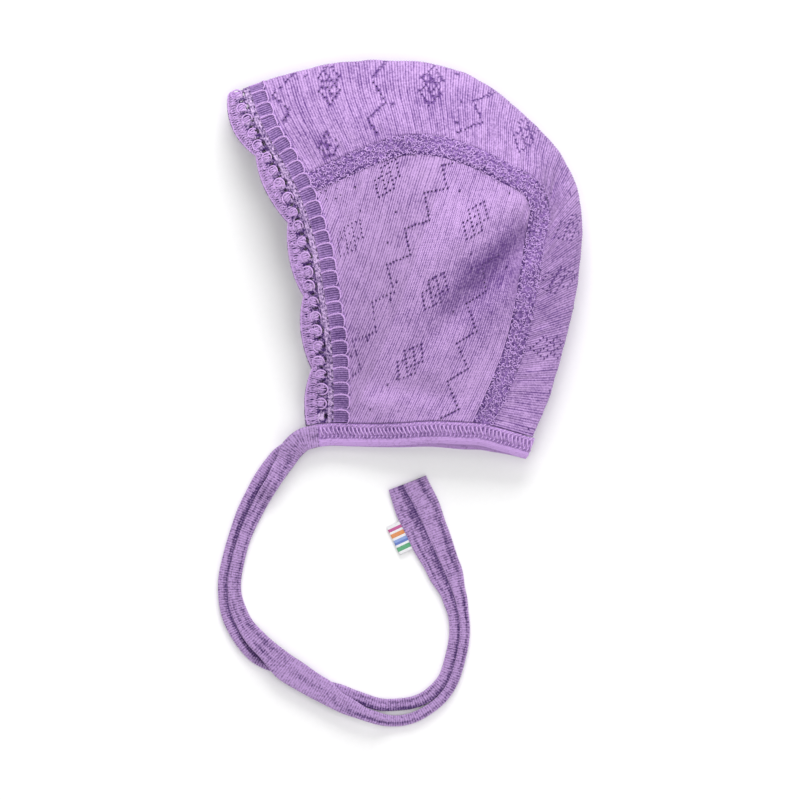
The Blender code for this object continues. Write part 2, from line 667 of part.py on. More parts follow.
def main():
    clear_scene()
    cloth_wall("centre_panel", centre_panel(), 0.0, -CLOTH, LILAC)
    cloth_wall("side_panel_upper", side_panel(1), 0.0, -CLOTH, LILAC)
    cloth_wall("side_panel_lower", side_panel(-1), 0.0, -CLOTH, LILAC)
    cloth_wall("seam_upper", seam_strip(1), SEAM_RAISE, SEAM_RAISE - SEAM_THICK, LILAC_DEEP)
    cloth_wall("seam_lower", seam_strip(-1), SEAM_RAISE, SEAM_RAISE - SEAM_THICK, LILAC_DEEP)
    cloth_wall("ladder_band", ladder_band(), 0.0, -LADDER_THICK, LILAC_DEEP)
    lace, holes = scallop_lace()
    cloth_wall("scallop_lace", lace, 0.0, -LACE_THICK, LILAC_PALE, holes)
    binding = neck_binding()
    raised = BINDING_RAISE - BINDING_THICK * (1 - np.array(BINDING_PROFILE)) / 2
    sunk = BINDING_RAISE - BINDING_THICK * (1 + np.array(BINDING_PROFILE)) / 2
    cloth_wall("neck_binding", binding, raised, sunk, LILAC)
    upper_line, lower_line = tie_lines(binding)
    lower_frames = tie_frames(*lower_line, binding[-1])
    strap("tie_upper", tie_frames(*upper_line, binding[0]), LILAC_PALE)
    strap("tie_lower", lower_frames, LILAC)
    stripe_tab(lower_frames)


main()
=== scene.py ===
"""Looks for the lying knitted bonnet: rib knit with pointelle holes, seams, lace, bound neck and ties.

Metres, +Z up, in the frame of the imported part. Each piece lies on the surface of the solid that it replaces.
"""

import math

import bmesh
import bpy
import numpy as np
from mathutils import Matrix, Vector


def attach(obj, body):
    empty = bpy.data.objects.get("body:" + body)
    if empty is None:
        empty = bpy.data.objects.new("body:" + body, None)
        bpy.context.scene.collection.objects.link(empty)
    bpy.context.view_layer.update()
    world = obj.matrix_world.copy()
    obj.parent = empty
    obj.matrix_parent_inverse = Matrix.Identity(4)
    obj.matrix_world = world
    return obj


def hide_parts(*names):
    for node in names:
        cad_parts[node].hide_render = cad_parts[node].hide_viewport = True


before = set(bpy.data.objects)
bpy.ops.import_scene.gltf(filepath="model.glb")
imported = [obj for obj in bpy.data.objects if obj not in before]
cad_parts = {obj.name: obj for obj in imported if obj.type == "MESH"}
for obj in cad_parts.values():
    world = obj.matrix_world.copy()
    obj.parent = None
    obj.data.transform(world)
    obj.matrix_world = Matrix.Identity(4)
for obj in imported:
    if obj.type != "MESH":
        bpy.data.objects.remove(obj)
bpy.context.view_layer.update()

bl_info = {
    "name": "Knitted Bonnet",
    "version": (1, 0, 0),
    "blender": (4, 5, 0),
    "location": "3D View > Sidebar > Bonnet",
    "description": "Dresses the packed bonnet in rib knit, lace, bound edges and ties",
    "category": "Object",
}

# Bonnet sizes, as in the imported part
BONNET_DEPTH = 0.160
BONNET_HEIGHT = 0.180
PUFF = 0.046
FOLD_RISE = 0.019
FOLD_ROUND = 0.032
NAPE_SLIP = 0.0025
CLOTH = 0.0012
SEAM_WIDTH = 0.0085
SEAM_THICK = 0.0017
SEAM_RAISE = 0.0005
LADDER_WIDTH = 0.0066
LADDER_THICK = 0.0013
LACE_WIDTH = 0.0090
LACE_THICK = 0.0013
SCALLOP_PITCH = 0.0338
SCALLOP_DEPTH = 0.0042
FIRST_NOTCH = 0.0332
SCALLOP_ROUND = 0.75
LACE_HOLE_WIDTH = 0.0018
LACE_HOLE_LENGTH = 0.0022
LACE_HOLE_INSET = 0.0026
LACE_HOLES_PER_SCALLOP = 5
LACE_PITCH = SCALLOP_PITCH / LACE_HOLES_PER_SCALLOP
BINDING_WIDTH = 0.0100
BINDING_THICK = 0.0024
BINDING_RAISE = 0.0006
BINDING_START = 0.0058
GAP = 0.00035
REST_BLEND = 0.0040
TIE_WIDTH = 0.0118
TIE_THICK = 0.0026
TIE_LOOP_WIDTH = 0.1045
TIE_LOOP_DROP = 0.1230
TIE_LETS_DOWN = 0.14
TIE_PARTING = 0.0006
TIE_CURL = 0.55
TAB_LENGTH = 0.0138
TAB_REACH = 0.0064
TAB_THICK = 0.0009
TAB_FROM_END = 0.0215
TAB_RISE = 0.0009

# Outlines in plan, as shares of BONNET_DEPTH from the front and of BONNET_HEIGHT from the nape's corner
ORIGIN_SHARE = (0.545, 0.480)
CROWN_FOLD = (
    (0.107, 0.948), (0.208, 0.975), (0.334, 0.996), (0.461, 1.000), (0.587, 0.990), (0.713, 0.950),
    (0.831, 0.868), (0.938, 0.768), (0.992, 0.660), (1.000, 0.555), (0.986, 0.430), (0.947, 0.275),
    (0.907, 0.155), (0.862, 0.060),
)
SEAM = (
    (0.242, 0.695), (0.334, 0.731), (0.421, 0.763), (0.503, 0.784), (0.579, 0.784), (0.685, 0.758),
    (0.784, 0.715), (0.862, 0.672), (0.881, 0.625), (0.868, 0.555), (0.854, 0.468), (0.834, 0.365),
    (0.809, 0.275), (0.761, 0.168), (0.722, 0.095),
)
FACE_EDGE = (
    (0.107, 0.948), (0.143, 0.859), (0.195, 0.775), (0.242, 0.695), (0.298, 0.548), (0.321, 0.430),
    (0.341, 0.308), (0.348, 0.205), (0.348, 0.095),
)
NECK_EDGE = (
    (0.219, 0.088), (0.292, 0.096), (0.348, 0.095), (0.489, 0.096), (0.573, 0.101), (0.671, 0.098),
    (0.722, 0.095), (0.770, 0.084), (0.862, 0.060),
)
SEAM_TURN = 8
CHIN_ON_SEAM = 0.58

# Hills and valleys of the upper half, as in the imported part
DOME_BASE = 0.16
DOME = (
    {"x": 0.630, "y": 0.650, "along": 0.500, "across": 0.500, "turn": 0, "height": 0.90},
    {"x": 0.330, "y": 0.080, "along": 0.170, "across": 0.150, "turn": 0, "height": -0.14},
    {"x": 0.752, "y": 0.467, "along": 0.200, "across": 0.034, "turn": 46, "height": -0.13},
    {"x": 0.820, "y": 0.560, "along": 0.075, "across": 0.035, "turn": 62, "height": -0.03},
    {"x": 0.450, "y": 0.905, "along": 0.110, "across": 0.036, "turn": 4, "height": -0.07},
    {"x": 0.925, "y": 0.690, "along": 0.070, "across": 0.024, "turn": 62, "height": -0.08},
    {"x": 0.550, "y": 0.175, "along": 0.100, "across": 0.030, "turn": -8, "height": -0.05},
    {"x": 0.420, "y": 0.140, "along": 0.070, "across": 0.040, "turn": 0, "height": 0.05},
    {"x": 0.650, "y": 0.545, "along": 0.160, "across": 0.042, "turn": 46, "height": 0.05},
)
FOLD_LOW = 0.45
FOLD_HIGH = {"x": 0.685, "y": 0.680, "radius": 0.575}
SLIP_AT = {"x": 0.760, "y": 0.060, "radius": 0.220}

# The ties' shared route and sections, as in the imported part
TIE_ROUTE = (
    (0.000, 0.000), (-0.062, -0.014), (-0.129, -0.066), (-0.198, -0.143), (-0.250, -0.216),
    (-0.294, -0.289), (-0.330, -0.366), (-0.359, -0.454), (-0.376, -0.546), (-0.366, -0.619),
    (-0.332, -0.692), (-0.263, -0.766), (-0.150, -0.841), (0.004, -0.915), (0.172, -0.982),
    (0.302, -1.012), (0.407, -1.003), (0.493, -0.965), (0.555, -0.908), (0.596, -0.813),
    (0.615, -0.711), (0.599, -0.610), (0.575, -0.545), (0.532, -0.458), (0.489, -0.377),
    (0.446, -0.289), (0.414, -0.225), (0.390, -0.172),
)
TIE_SECTIONS = (
    {"along": 0.00, "upper": 0.84, "lower": 0.76, "apart": 0.00, "side": 0.0, "lift": 1.12},
    {"along": 0.04, "upper": 0.84, "lower": 0.60, "apart": 0.00, "side": 0.1, "lift": 1.12},
    {"along": 0.07, "upper": 0.66, "lower": 0.46, "apart": 0.00, "side": 0.7, "lift": 1.12},
    {"along": 0.10, "upper": 0.54, "lower": 0.42, "apart": 0.00, "side": 1.0, "lift": 1.12},
    {"along": 0.14, "upper": 0.52, "lower": 0.38, "apart": 0.00, "side": 1.0, "lift": 0.00},
    {"along": 0.20, "upper": 0.46, "lower": 0.32, "apart": 0.00, "side": 1.0, "lift": 0.00},
    {"along": 0.27, "upper": 0.49, "lower": 0.32, "apart": 0.00, "side": 1.0, "lift": 0.00},
    {"along": 0.32, "upper": 0.60, "lower": 0.34, "apart": 0.00, "side": 1.0, "lift": 0.00},
    {"along": 0.37, "upper": 0.74, "lower": 0.34, "apart": 0.00, "side": 1.0, "lift": 1.12},
    {"along": 0.43, "upper": 1.00, "lower": 0.42, "apart": 0.00, "side": 0.1, "lift": 1.12},
    {"along": 0.48, "upper": 0.90, "lower": 0.46, "apart": 0.00, "side": -0.2, "lift": 1.12},
    {"along": 0.52, "upper": 0.66, "lower": 0.46, "apart": 0.00, "side": -0.7, "lift": 1.12},
    {"along": 0.56, "upper": 0.46, "lower": 0.44, "apart": 0.02, "side": -1.0, "lift": 1.12},
    {"along": 0.60, "upper": 0.38, "lower": 0.42, "apart": 0.19, "side": -1.0, "lift": 0.00},
    {"along": 0.66, "upper": 0.34, "lower": 0.44, "apart": 0.02, "side": -1.0, "lift": 0.00},
    {"along": 0.70, "upper": 0.34, "lower": 0.38, "apart": 0.00, "side": -1.0, "lift": 0.00},
    {"along": 0.79, "upper": 0.36, "lower": 0.36, "apart": 0.00, "side": -1.0, "lift": 0.00},
    {"along": 0.82, "upper": 0.46, "lower": 0.42, "apart": 0.00, "side": -1.0, "lift": 0.00},
    {"along": 0.86, "upper": 0.66, "lower": 0.58, "apart": 0.00, "side": -1.0, "lift": 0.00},
    {"along": 0.92, "upper": 0.79, "lower": 0.71, "apart": 0.00, "side": -1.0, "lift": 0.00},
    {"along": 0.96, "upper": 0.88, "lower": 0.74, "apart": 0.00, "side": -1.0, "lift": 0.00},
    {"along": 1.00, "upper": 0.92, "lower": 0.55, "apart": 0.00, "side": -1.0, "lift": 0.00},
)

# Numerical care
CURVE_SAMPLES = 400
SPAN_SAMPLES = 24
END_FADE = 0.12
ON_FOLD = 1e-7
SLOPE_STEP = 1e-4
MERGE = 1e-7
MILLIMETRE = 0.001
SMALLEST_CELL = 1e-8
LAY_CHUNK = 2500
BAR_POINTS = 7

# Sizes, turn and lean in radians, and seed of each stitch that is repeated
LOOP_CHANCE = ((0.7, 1.45), math.pi, 0.5, 3)
RING_CHANCE = ((0.78, 1.14), 1.3, 0.12, 5)
BAR_CHANCE = ((0.7, 1.15), 0.5, 0.12, 9)
BOBBLE_CHANCE = ((0.8, 1.3), math.pi, 0.5, 13)
THREAD_CHANCE = ((0.85, 1.12), 0.14, 0.05, 31)

PLAIN_THREAD = dict(groove_tone=0.0, loop_height=0.0, loop_tone=0.0)
# Each cotton's looks, with its colours as hex codes or by their names in the panel; its dark colour is painted
# shade
YARNS = {
    "combed cotton rib": dict(light="light", dark="dark", fleck=0.75, streak=0.5),
    "overlock thread base": {"light": "#A780C6", "dark": "shade", **PLAIN_THREAD, "groove_tone": 0.85},
    "overlock thread": dict(light="#CDA8E4", dark="shade", fleck=1.1, **PLAIN_THREAD),
    "trim thread": dict(light="light", dark="dark", fleck=0.9, **PLAIN_THREAD),
    "ladder knit": dict(light="#BD99D8", dark="shade", loop_tone=0.05),
    "lace cotton": dict(light="#DFBFF0", dark="shade", loop_height=0.00012, fleck=1.7),
    "cotton jersey": dict(light="#CBA3E2", dark="shade", loop_tone=0.08, fleck=0.7),
    "jersey tape": dict(
        light="#D3ADE9", dark="shade", loop_height=0.00034, loop_tone=0.36, fleck=1.15, streak=0.25
    ),
}

# Rib knit
SIDE_WALES = 104  # ribs of a cheek panel, from the brow to the back seam
CENTRE_WALES = 226
RIB_DEPTH = 0.00034
SIDE_STEP = 0.00082  # along a rib
CENTRE_STEP = 0.00112
LOWER_STEP = 0.00135
COURSE = 0.00078
EYELET_RADIUS = 0.00038
EYELET_RIM = 0.00008  # how far the rim of an eyelet stands above the ribs
EYELET_RIM_SHADE = 0.9  # painted shade round its rim, as in a groove
SIDE_SAMPLES = 3  # rows of the grid to a rib of the cheek panel on top
PLAIN_SAMPLES = 2  # and to a rib of the other panels
RIB_SWAY = (0.35, 0.7)  # how much a rib's depth varies, and radians of that from rib to rib
CENTRE_LOOK = (0.9, 0.12, 0.5)  # painted shade of the strip's grooves and over its whole ground, and the number of its first rib
STRAY_MARGINS = (4, 3)  # rows and columns that stray holes keep from the edges
LEAST_ROOM = 0.5  # least width of a hole's place, as a share of a course
HOLES_APART = (3, 2)  # rows or columns from one hole to the next
FACE_RIBS = 0.50  # share of a cheek panel's ribs that start on the face edge
FACE_SPREAD = 1.2  # above 1 they start further apart at the chin than at the brow

# Pointelle holes: corners of each zigzag and middles of the diamonds, as shares like the outlines
SIDE_ZIGZAGS = (
    (
        (0.655, 0.742), (0.606, 0.733), (0.621, 0.676), (0.557, 0.665), (0.572, 0.597), (0.503, 0.577),
        (0.518, 0.512), (0.452, 0.488), (0.473, 0.421), (0.412, 0.394), (0.422, 0.322), (0.357, 0.298),
        (0.380, 0.230), (0.350, 0.204),
    ),
    (
        (0.764, 0.510), (0.719, 0.488), (0.729, 0.422), (0.675, 0.392), (0.703, 0.322), (0.648, 0.293),
        (0.680, 0.230), (0.621, 0.199), (0.653, 0.129), (0.596, 0.103),
    ),
)
SIDE_DIAMONDS = ((0.454, 0.702), (0.350, 0.554), (0.700, 0.597), (0.586, 0.422), (0.518, 0.247))
CENTRE_ZIGZAGS = (
    ((0.190, 0.965), (0.133, 0.912), (0.182, 0.869), (0.158, 0.842)),
    ((0.449, 0.996), (0.409, 0.952), (0.449, 0.891), (0.399, 0.851), (0.429, 0.807)),
    ((0.754, 0.917), (0.695, 0.895), (0.719, 0.842), (0.650, 0.816)),
)
CENTRE_DIAMONDS = (
    (0.291, 0.939), (0.577, 0.934), (0.842, 0.816), (0.970, 0.580), (0.931, 0.449), (0.911, 0.282),
    (0.296, 0.768),
)
ZIGZAG_SPACING = (0.00170, 0.00200)  # between holes on the runs that lean left and right
DIAMOND_CHART = (
    "..#####",
    "..#.#.#",
    "#####.#",
    "#.#.#.#",
    "#.#####",
    "#.#.#..",
    "#####..",
)
# From a place of the chart to the next to its right and to the one below: metres, and degrees from the rib
CHART_STEPS = ((0.00192, -46), (0.00190, -152))
STRAY_EYELETS = 26
# Painted shade on the walls inside each eyelet
HOLE_SHADE_COLOUR = "#2A1045"
CLOUD_TONE = 0.35  # how much the dye varies from place to place
RIB_GROOVE_SHADE_RANGE = (0.45, 1.0)  # least and greatest painted shade in the groove beside a rib, drawn at random for each rib

# Painted shade along the cheek's valley and beside it, as hills: height is a share of a groove's painted shade
PAINTED_VALLEY_SHADE = (
    {"x": 0.728, "y": 0.489, "along": 0.180, "across": 0.038, "turn": 46, "height": 0.66},
    {"x": 0.792, "y": 0.432, "along": 0.150, "across": 0.062, "turn": 46, "height": 0.50},
)

LONGEST_RIB = 0.126
LONGEST_CENTRE = 0.108
GATHER = 0.00035  # height of the gathers along the bound and trimmed edges
GATHER_FADE = 0.012
GATHER_RIBS = 9
GATHER_WANDER = (1.7, 0.31)
RIPPLE = 0.00030
# Radians a millimetre along X and Y and weight of each wave, then size, X and Y of the wave that bends it
RIPPLE_WAVES = (
    (0.31, 0.17, 1.0, 1.3, 0.00, 0.11),
    (-0.29, 0.23, 1.0, 1.1, 0.13, 0.00),
    (0.52, 0.41, 0.5, 0.0, 0.00, 0.00),
    (-0.37, 0.61, 0.5, 0.0, 0.00, 0.00),
)

# Seams
SEAM_STEP = 0.0008
SEAM_COLUMNS = 10
SEAM_ROUGH = 0.00012
SEAM_SUNK = 0.0004
SEAM_OVER = 0.0003  # how far its visible band reaches over the clearance on each side
KNOT_PITCH = 0.00116
KNOT_ROWS = 6
KNOT_RADIUS = 0.00021
KNOT_BEND = 0.00050
KNOT_LIFT = 0.00022
KNOT_SHIFTS = (0.3, 0.42)  # along and across, as shares of the spacing
KNOT_ARC = 130
LOWER_KNOTS = 1.4  # how much wider apart the loops of the hidden seam are
SEAM_DOME = 0.55  # share of its raise by which it is higher in the middle
SEAM_EDGE_SHADE = 0.9  # painted shade along its edge beside the cheek panel
SEAM_EDGE_SHADE_WIDTH = 0.12  # share of the seam's width

# Ladder band
LADDER_CELL = 0.0065
LADDER_RIB = 0.00105
LADDER_COLUMNS = 10
LADDER_SUNK = 0.00045
LADDER_RELIEF = 0.00042
LADDER_CORD_POINTS = 30
LADDER_SAMPLES = 3  # rows of the grid to a cross rib
LADDER_RIM = 7  # how steeply it sinks from its edges
LADDER_WALES = 6
LADDER_GROOVE_SHADE = 0.75  # painted shade between its cross ribs
LADDER_CORNER_SHADE = (0.10, 0.07, 0.12)  # place of the painted shade in a cell's corner, and its length and width, as shares
LADDER_OPEN_SHADE = (0.25, 0.33, 0.15)  # painted shade and half length of a cell's open middle, and tone of the rest
CORD_RADIUS = 0.00023
CORD_ROUGH = 0.00007
TRIM_OVER = 0.0003  # how far the visible band reaches over the clearance on each side
CORD_TWIST = 0.0016
CORD_SPREAD = 0.00022
CORD_LIFT = 0.00015
ARCH_LENGTH = 1.7  # cells
# One arch of cord, from the tape across to the panel and back: shares of a cell and of the band's width
ARCH = (
    (0.97, 1.0), (1.03, 0.72), (1.04, 0.42), (0.97, 0.17), (0.82, 0.05), (0.55, 0.02), (0.25, 0.04),
    (0.02, 0.14),
)
ARCH_JITTER = 0.08

# Lace
LACE_STEP = 0.00046
LACE_COLUMNS = (
    0.0, 0.035, 0.07, 0.14, 0.21, 0.27, 0.32, 0.37, 0.42, 0.47, 0.52, 0.57, 0.63, 0.69, 0.75, 0.81, 0.87,
    0.94, 1.0,
)
NET_FROM = 0.78  # share of the lace's width beyond which it is net
LACE_SUNK = 0.00050
HOLE_SPAN = 0.62  # how far a hole reaches to each side of its middle, as a share of its length
GAP_HALF = (0.0006, 0.0011)  # half sizes of the gap between two rosettes
GAP_BEYOND = 0.0016  # from ROSETTE_FROM to its middle
PIN_HOLE = 0.00042
PIN_INSET = 0.00048
TAPE_BEYOND = 0.0004
TAPE_FADE = 0.0006
NET_FADE = 0.0008
# Painted shade on the ground among the rosettes, round each rosette and in the net's pits; plain tone on the
# net and tape; random dark specks
LACE_TONE_AND_SHADE = {"ground": 0.62, "net": 0.10, "mesh": 0.7, "tape": 0.5, "rosette_outline_shade": 1.6, "specks": 0.35}
LACE_LOOP = 0.0011
NET_RELIEF = 0.00016
NET_RISE = 0.4  # share of LACE_SUNK by which the net lies higher
NET_CELL = 0.00112
NET_LIFT = 0.00022
NET_THREAD = 0.00014
ROSETTE_FROM = 0.0034
ROSETTE_MIDDLE = 0.0058
ROSETTE_RADIUS = 0.0025
ROSETTE_SHIFT = 0.0005
ROSETTE_OUTLINE = 0.0028
ROSETTE_EDGE = 0.0005  # width of its outline
ROSETTE_LIFT = 0.00005
RING_RISE = 0.0003
BAR_RISE = 0.0004
RING_ARC = (-130, 115)
BEAD_RADIUS = 0.0020  # plump middle of a rosette
BEAD_RISE = 0.0004
THREAD_RADIUS = 0.00023
BAR_PLACES = ((-0.0010, 0.0001), (0.0, 0.0), (0.0010, -0.0001))
BAR_HALF = 0.72  # half length of a bar, as a share of the rosette's radius
BOBBLES = 3
BOBBLE_RADIUS = 0.00055
BOBBLE_ARC = (-140, 120)
BOBBLE_BEYOND = 0.85  # from the rosette's middle, as a share of its radius
BOBBLE_SHIFTS = ((-0.0004, 0.0004), (-0.0005, 0.0003))
BOBBLE_LIFT = 0.0001
NET_REACH = 0.97
NET_SLANT = 0.9
RIM_RADIUS = 0.00042
RIM_INSET = 0.0002
RIM_END = 0.0008
RIM_STEP = 0.0007
RIM_SUNK = 0.35  # share of the lace's thickness
RIM_WAVE = (0.00012, 0.0016)

# Neck binding
BINDING_STEP = 0.00045
BINDING_ROWS = 54
BINDING_ACROSS = (0.0, 0.12, 0.85, 1.0)
BINDING_COLUMNS = (
    0.0, 0.03, 0.06, 0.11, 0.16, 0.22, 0.28, 0.33, 0.38, 0.43, 0.48, 0.54, 0.62, 0.72, 0.82, 0.90, 0.95,
    0.98, 1.0,
)
# Place across, and how full the binding is there
BINDING_BODY = (
    (0.0, 0.72), (0.06, 0.90), (0.16, 1.0), (0.34, 1.0), (0.42, 0.94), (0.55, 0.74), (0.80, 1.0), (1.0, 0.30),
)
BINDING_PULL = (0.09, 0.30, 0.22)  # how deep the slanted stitches pull it in, their middle and half width
BINDING_PUFF = 0.10
BINDING_LOOP = (0.0009, 0.0008)
STITCH_PITCH = 0.0018
STITCH_RISE = 0.00025
STITCH_SHIFT = 0.02
STITCH_SLANT = 0.8  # pitches by which a stitch leans from edge to edge
STITCH_SHADE_BAND = (0.32, 0.24)  # middle and half width of the band of painted shade under them
# Painted shade over that band and in the gaps between the slanted stitches
STITCH_SHADE_TONES = (0.25, 0.55)
BINDING_CREASE_SHADE = ((0.7, 0.60, 0.05), (0.5, 0.01, 0.03))  # painted shade along creases: tone, place and width
# Label, place across, half length, lean in radians, thread radius and lift
STITCH_ROWS = (
    ("edge", 0.06, 0.0008, 0.75, 0.00024, 0.0000),
    ("slant", 0.30, 0.0019, -0.38, 0.00028, 0.0000),
    ("low", 0.58, 0.0006, 0.40, 0.00020, -0.0001),
)

# Ties
TIE_STATIONS = 420
TIE_SIDES = 36
TIE_TURN_STATIONS = 12
TIE_TUCK = 0.0009  # how far a tie's visible start reaches back to the binding
TIE_OVER = 0.00045  # how much wider it looks, to meet its neighbour
TIE_RIB = 0.0011
TIE_LOOP = 0.0011
TIE_CREASE = 0.42
TIE_RELIEF = 0.10
TIE_STROKE = 0.10
TIE_WAVE = 0.03
TIE_WAVE_LENGTH = 0.0062
TIE_WAVE_TURN = 2.2
TIE_ZIGZAG = 0.35  # how far a loop leans between two ribs
TIE_TONES = (0.5, 0.25, 0.1)  # painted shade of the crease and between the ribs, and tone of the loops
TIE_ROUND = (0.55, 0.62)  # powers that square its section, across and through
TIE_FOLD = 0.11  # half width of its crease, as a share of half its width
# Size and length of the waves that lead the crease from side to side
TIE_WANDER = ((0.10, 0.011), (0.06, 0.0043))
# Name, place of its crease, seed, then place, width and depth of its strip of painted shade
UPPER_TAPE = ("tie_upper_tape", -0.25, 1.0, (0.45, 0.30, 0.40))
LOWER_TAPE = ("tie_lower_tape", 0.30, 2.6, (1.0, 0.75, 0.75))
TAB_ROWS = 26
TAB_LET_IN = 0.0012
TAB_SAG = 0.00025
TAB_TURNS = 10  # points round its fold, even so that its ends close in quads
TAB_WEAVE = (38, 20)  # threads along and across
TAB_BLOCKS = (
    (0.0, "#F2F1F5"), (0.10, "#3FA36B"), (0.24, "#F2F1F5"), (0.32, "#4B6FC4"), (0.40, "#86A2E0"),
    (0.50, "#F2F1F5"), (0.58, "#E58A3A"), (0.72, "#F2F1F5"), (0.80, "#C2418F"), (0.90, "#F2F1F5"),
)

# Stage
FLOOR_CLEAR = 0.00003
FLOOR_SIZE = 6.0
WORLD_COLOUR = "#FFFFFF"
WORLD_STRENGTH = 0.54
# Name, place, width and height in metres, power in watts
LIGHTS = (
    ("key", (0.05, 1.25, 0.85), (0.9, 0.9), 15.5),
    ("fill", (0.9, -0.6, 1.3), (1.2, 1.2), 4.0),
    ("top", (0.0, 0.0, 2.2), (1.6, 1.6), 14.0),
)

# Camera
VIEW_CENTRE = (-0.0089, -0.05895)
VIEW_SPAN = 0.360
CAMERA_HEIGHT = 5.0
SENSOR = 36.0
CLIP_START = 0.05


def srgb(code):
    """Linear RGBA of an sRGB hex colour."""
    channels = [int(code[i : i + 2], 16) / 255 for i in (1, 3, 5)]
    linear = [c / 12.92 if c <= 0.04045 else ((c + 0.055) / 1.055) ** 2.4 for c in channels]
    return (*linear, 1.0)


# Curves in plan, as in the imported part


def in_plan(share):
    """Metres in plan of a point given as shares of the bonnet's depth and height."""
    return (np.array(share) - ORIGIN_SHARE) * (BONNET_DEPTH, BONNET_HEIGHT)


def arc_lengths(points):
    steps = np.linalg.norm(np.diff(points, axis=0), axis=1)
    return np.concatenate([[0.0], np.cumsum(steps)])


def along(points, shares):
    """Points at these shares of a polyline's length."""
    lengths = arc_lengths(points)
    wanted = np.asarray(shares) * lengths[-1]
    return np.stack([np.interp(wanted, lengths, points[:, k]) for k in range(points.shape[1])], axis=1)


def smooth_curve(points, samples=CURVE_SAMPLES):
    """Cubic curve through the points, sampled evenly along its length."""
    points = np.asarray(points, float)
    knots = arc_lengths(points)
    slopes_there = np.gradient(points, knots, axis=0)
    found = []
    for k in range(len(points) - 1):
        span = knots[k + 1] - knots[k]
        t = np.linspace(0, 1, SPAN_SAMPLES, endpoint=False)[:, None]
        found.append(
            (2 * t**3 - 3 * t**2 + 1) * points[k]
            + (t**3 - 2 * t**2 + t) * span * slopes_there[k]
            + (3 * t**2 - 2 * t**3) * points[k + 1]
            + (t**3 - t**2) * span * slopes_there[k + 1]
        )
    found.append(points[-1:])
    return along(np.concatenate(found), np.linspace(0, 1, samples))


def share_at(curve, point):
    """Share of the curve's length at its sample nearest to a point."""
    nearest = np.argmin(np.linalg.norm(curve - point, axis=1))
    return arc_lengths(curve)[nearest] / arc_lengths(curve)[-1]


def unit(vectors):
    """The vectors made one long, apart from those that have next to no length."""
    return vectors / np.maximum(np.linalg.norm(vectors, axis=-1, keepdims=True), MERGE)


def bell(away, half_width, power=2):
    """1 in the middle, falling to nothing beyond this half width."""
    return np.exp(-((away / half_width) ** power))


def left_normals(curve):
    ahead = unit(np.gradient(curve, axis=0))
    return np.stack([-ahead[:, 1], ahead[:, 0]], axis=1)


def smoothstep(value):
    value = np.clip(value, 0, 1)
    return value * value * (3 - 2 * value)


CROWN_CURVE = smooth_curve([in_plan(p) for p in CROWN_FOLD])
SEAM_CURVE = smooth_curve([in_plan(p) for p in SEAM])
FACE_CURVE = smooth_curve([in_plan(p) for p in FACE_EDGE])
NECK_CURVE = smooth_curve([in_plan(p) for p in NECK_EDGE])
FACE_OUTWARDS = -left_normals(FACE_CURVE)
NECK_OUTWARDS = -left_normals(NECK_CURVE)
TRIM_WIDTH = LADDER_WIDTH + LACE_WIDTH + 2 * GAP


def fold_line():
    ahead = CROWN_CURVE[0] + FACE_OUTWARDS[0] * (TRIM_WIDTH + 2 * SCALLOP_DEPTH)
    behind = CROWN_CURVE[-1] + NECK_OUTWARDS[-1] * 2 * BINDING_WIDTH
    return np.concatenate([[ahead], CROWN_CURVE, [behind]])


FOLD_LINE = fold_line()


def from_fold(plan):
    """Distance in plan of each point from the fold, and the direction that leads in from it."""
    starts, ends = FOLD_LINE[:-1], FOLD_LINE[1:]
    runs = ends - starts
    lengths = np.linalg.norm(runs, axis=1)
    inwards = np.column_stack([runs[:, 1], -runs[:, 0]]) / lengths[:, None]
    away = plan[:, None, :] - starts[None]
    t = np.clip((away * runs[None]).sum(axis=2) / lengths**2, 0, 1)
    away -= t[:, :, None] * runs[None]
    distances = np.linalg.norm(away, axis=2)
    nearest = distances.argmin(axis=1)
    picked = np.arange(len(plan))
    distance = distances[picked, nearest][:, None]
    on_fold = distance < ON_FOLD
    direction = np.where(on_fold, inwards[nearest], away[picked, nearest] / np.maximum(distance, ON_FOLD))
    return distance[:, 0], direction


# The lying bonnet's surface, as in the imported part


def near(plan, spot):
    """1 at a spot, falling to nothing over its radius."""
    away = np.linalg.norm(plan - in_plan((spot["x"], spot["y"])), axis=1)
    return bell(away, spot["radius"] * BONNET_HEIGHT)


def hills(plan, table):
    """Sum of a table's hills and valleys over the plan."""
    total = np.zeros(plan.shape[:-1])
    for hill in table:
        away = plan - in_plan((hill["x"], hill["y"]))
        turn = math.radians(hill["turn"])
        u = away[..., 0] * math.cos(turn) + away[..., 1] * math.sin(turn)
        v = away[..., 1] * math.cos(turn) - away[..., 0] * math.sin(turn)
        along_share = u / (hill["along"] * BONNET_HEIGHT)
        across_share = v / (hill["across"] * BONNET_HEIGHT)
        total += hill["height"] * np.exp(-(along_share**2) - across_share**2)
    return total


def dome(plan):
    """Height of the upper half away from the fold."""
    return PUFF * (DOME_BASE + hills(plan, DOME))


def fold_height(plan):
    return FOLD_RISE * (FOLD_LOW + (1 - FOLD_LOW) * near(plan, FOLD_HIGH))


def slopes(height, plan):
    """How steeply a height over the plan rises along X and along Y."""
    steps = np.eye(2) * SLOPE_STEP
    return np.column_stack([(height(plan + s) - height(plan - s)) / (2 * SLOPE_STEP) for s in steps])


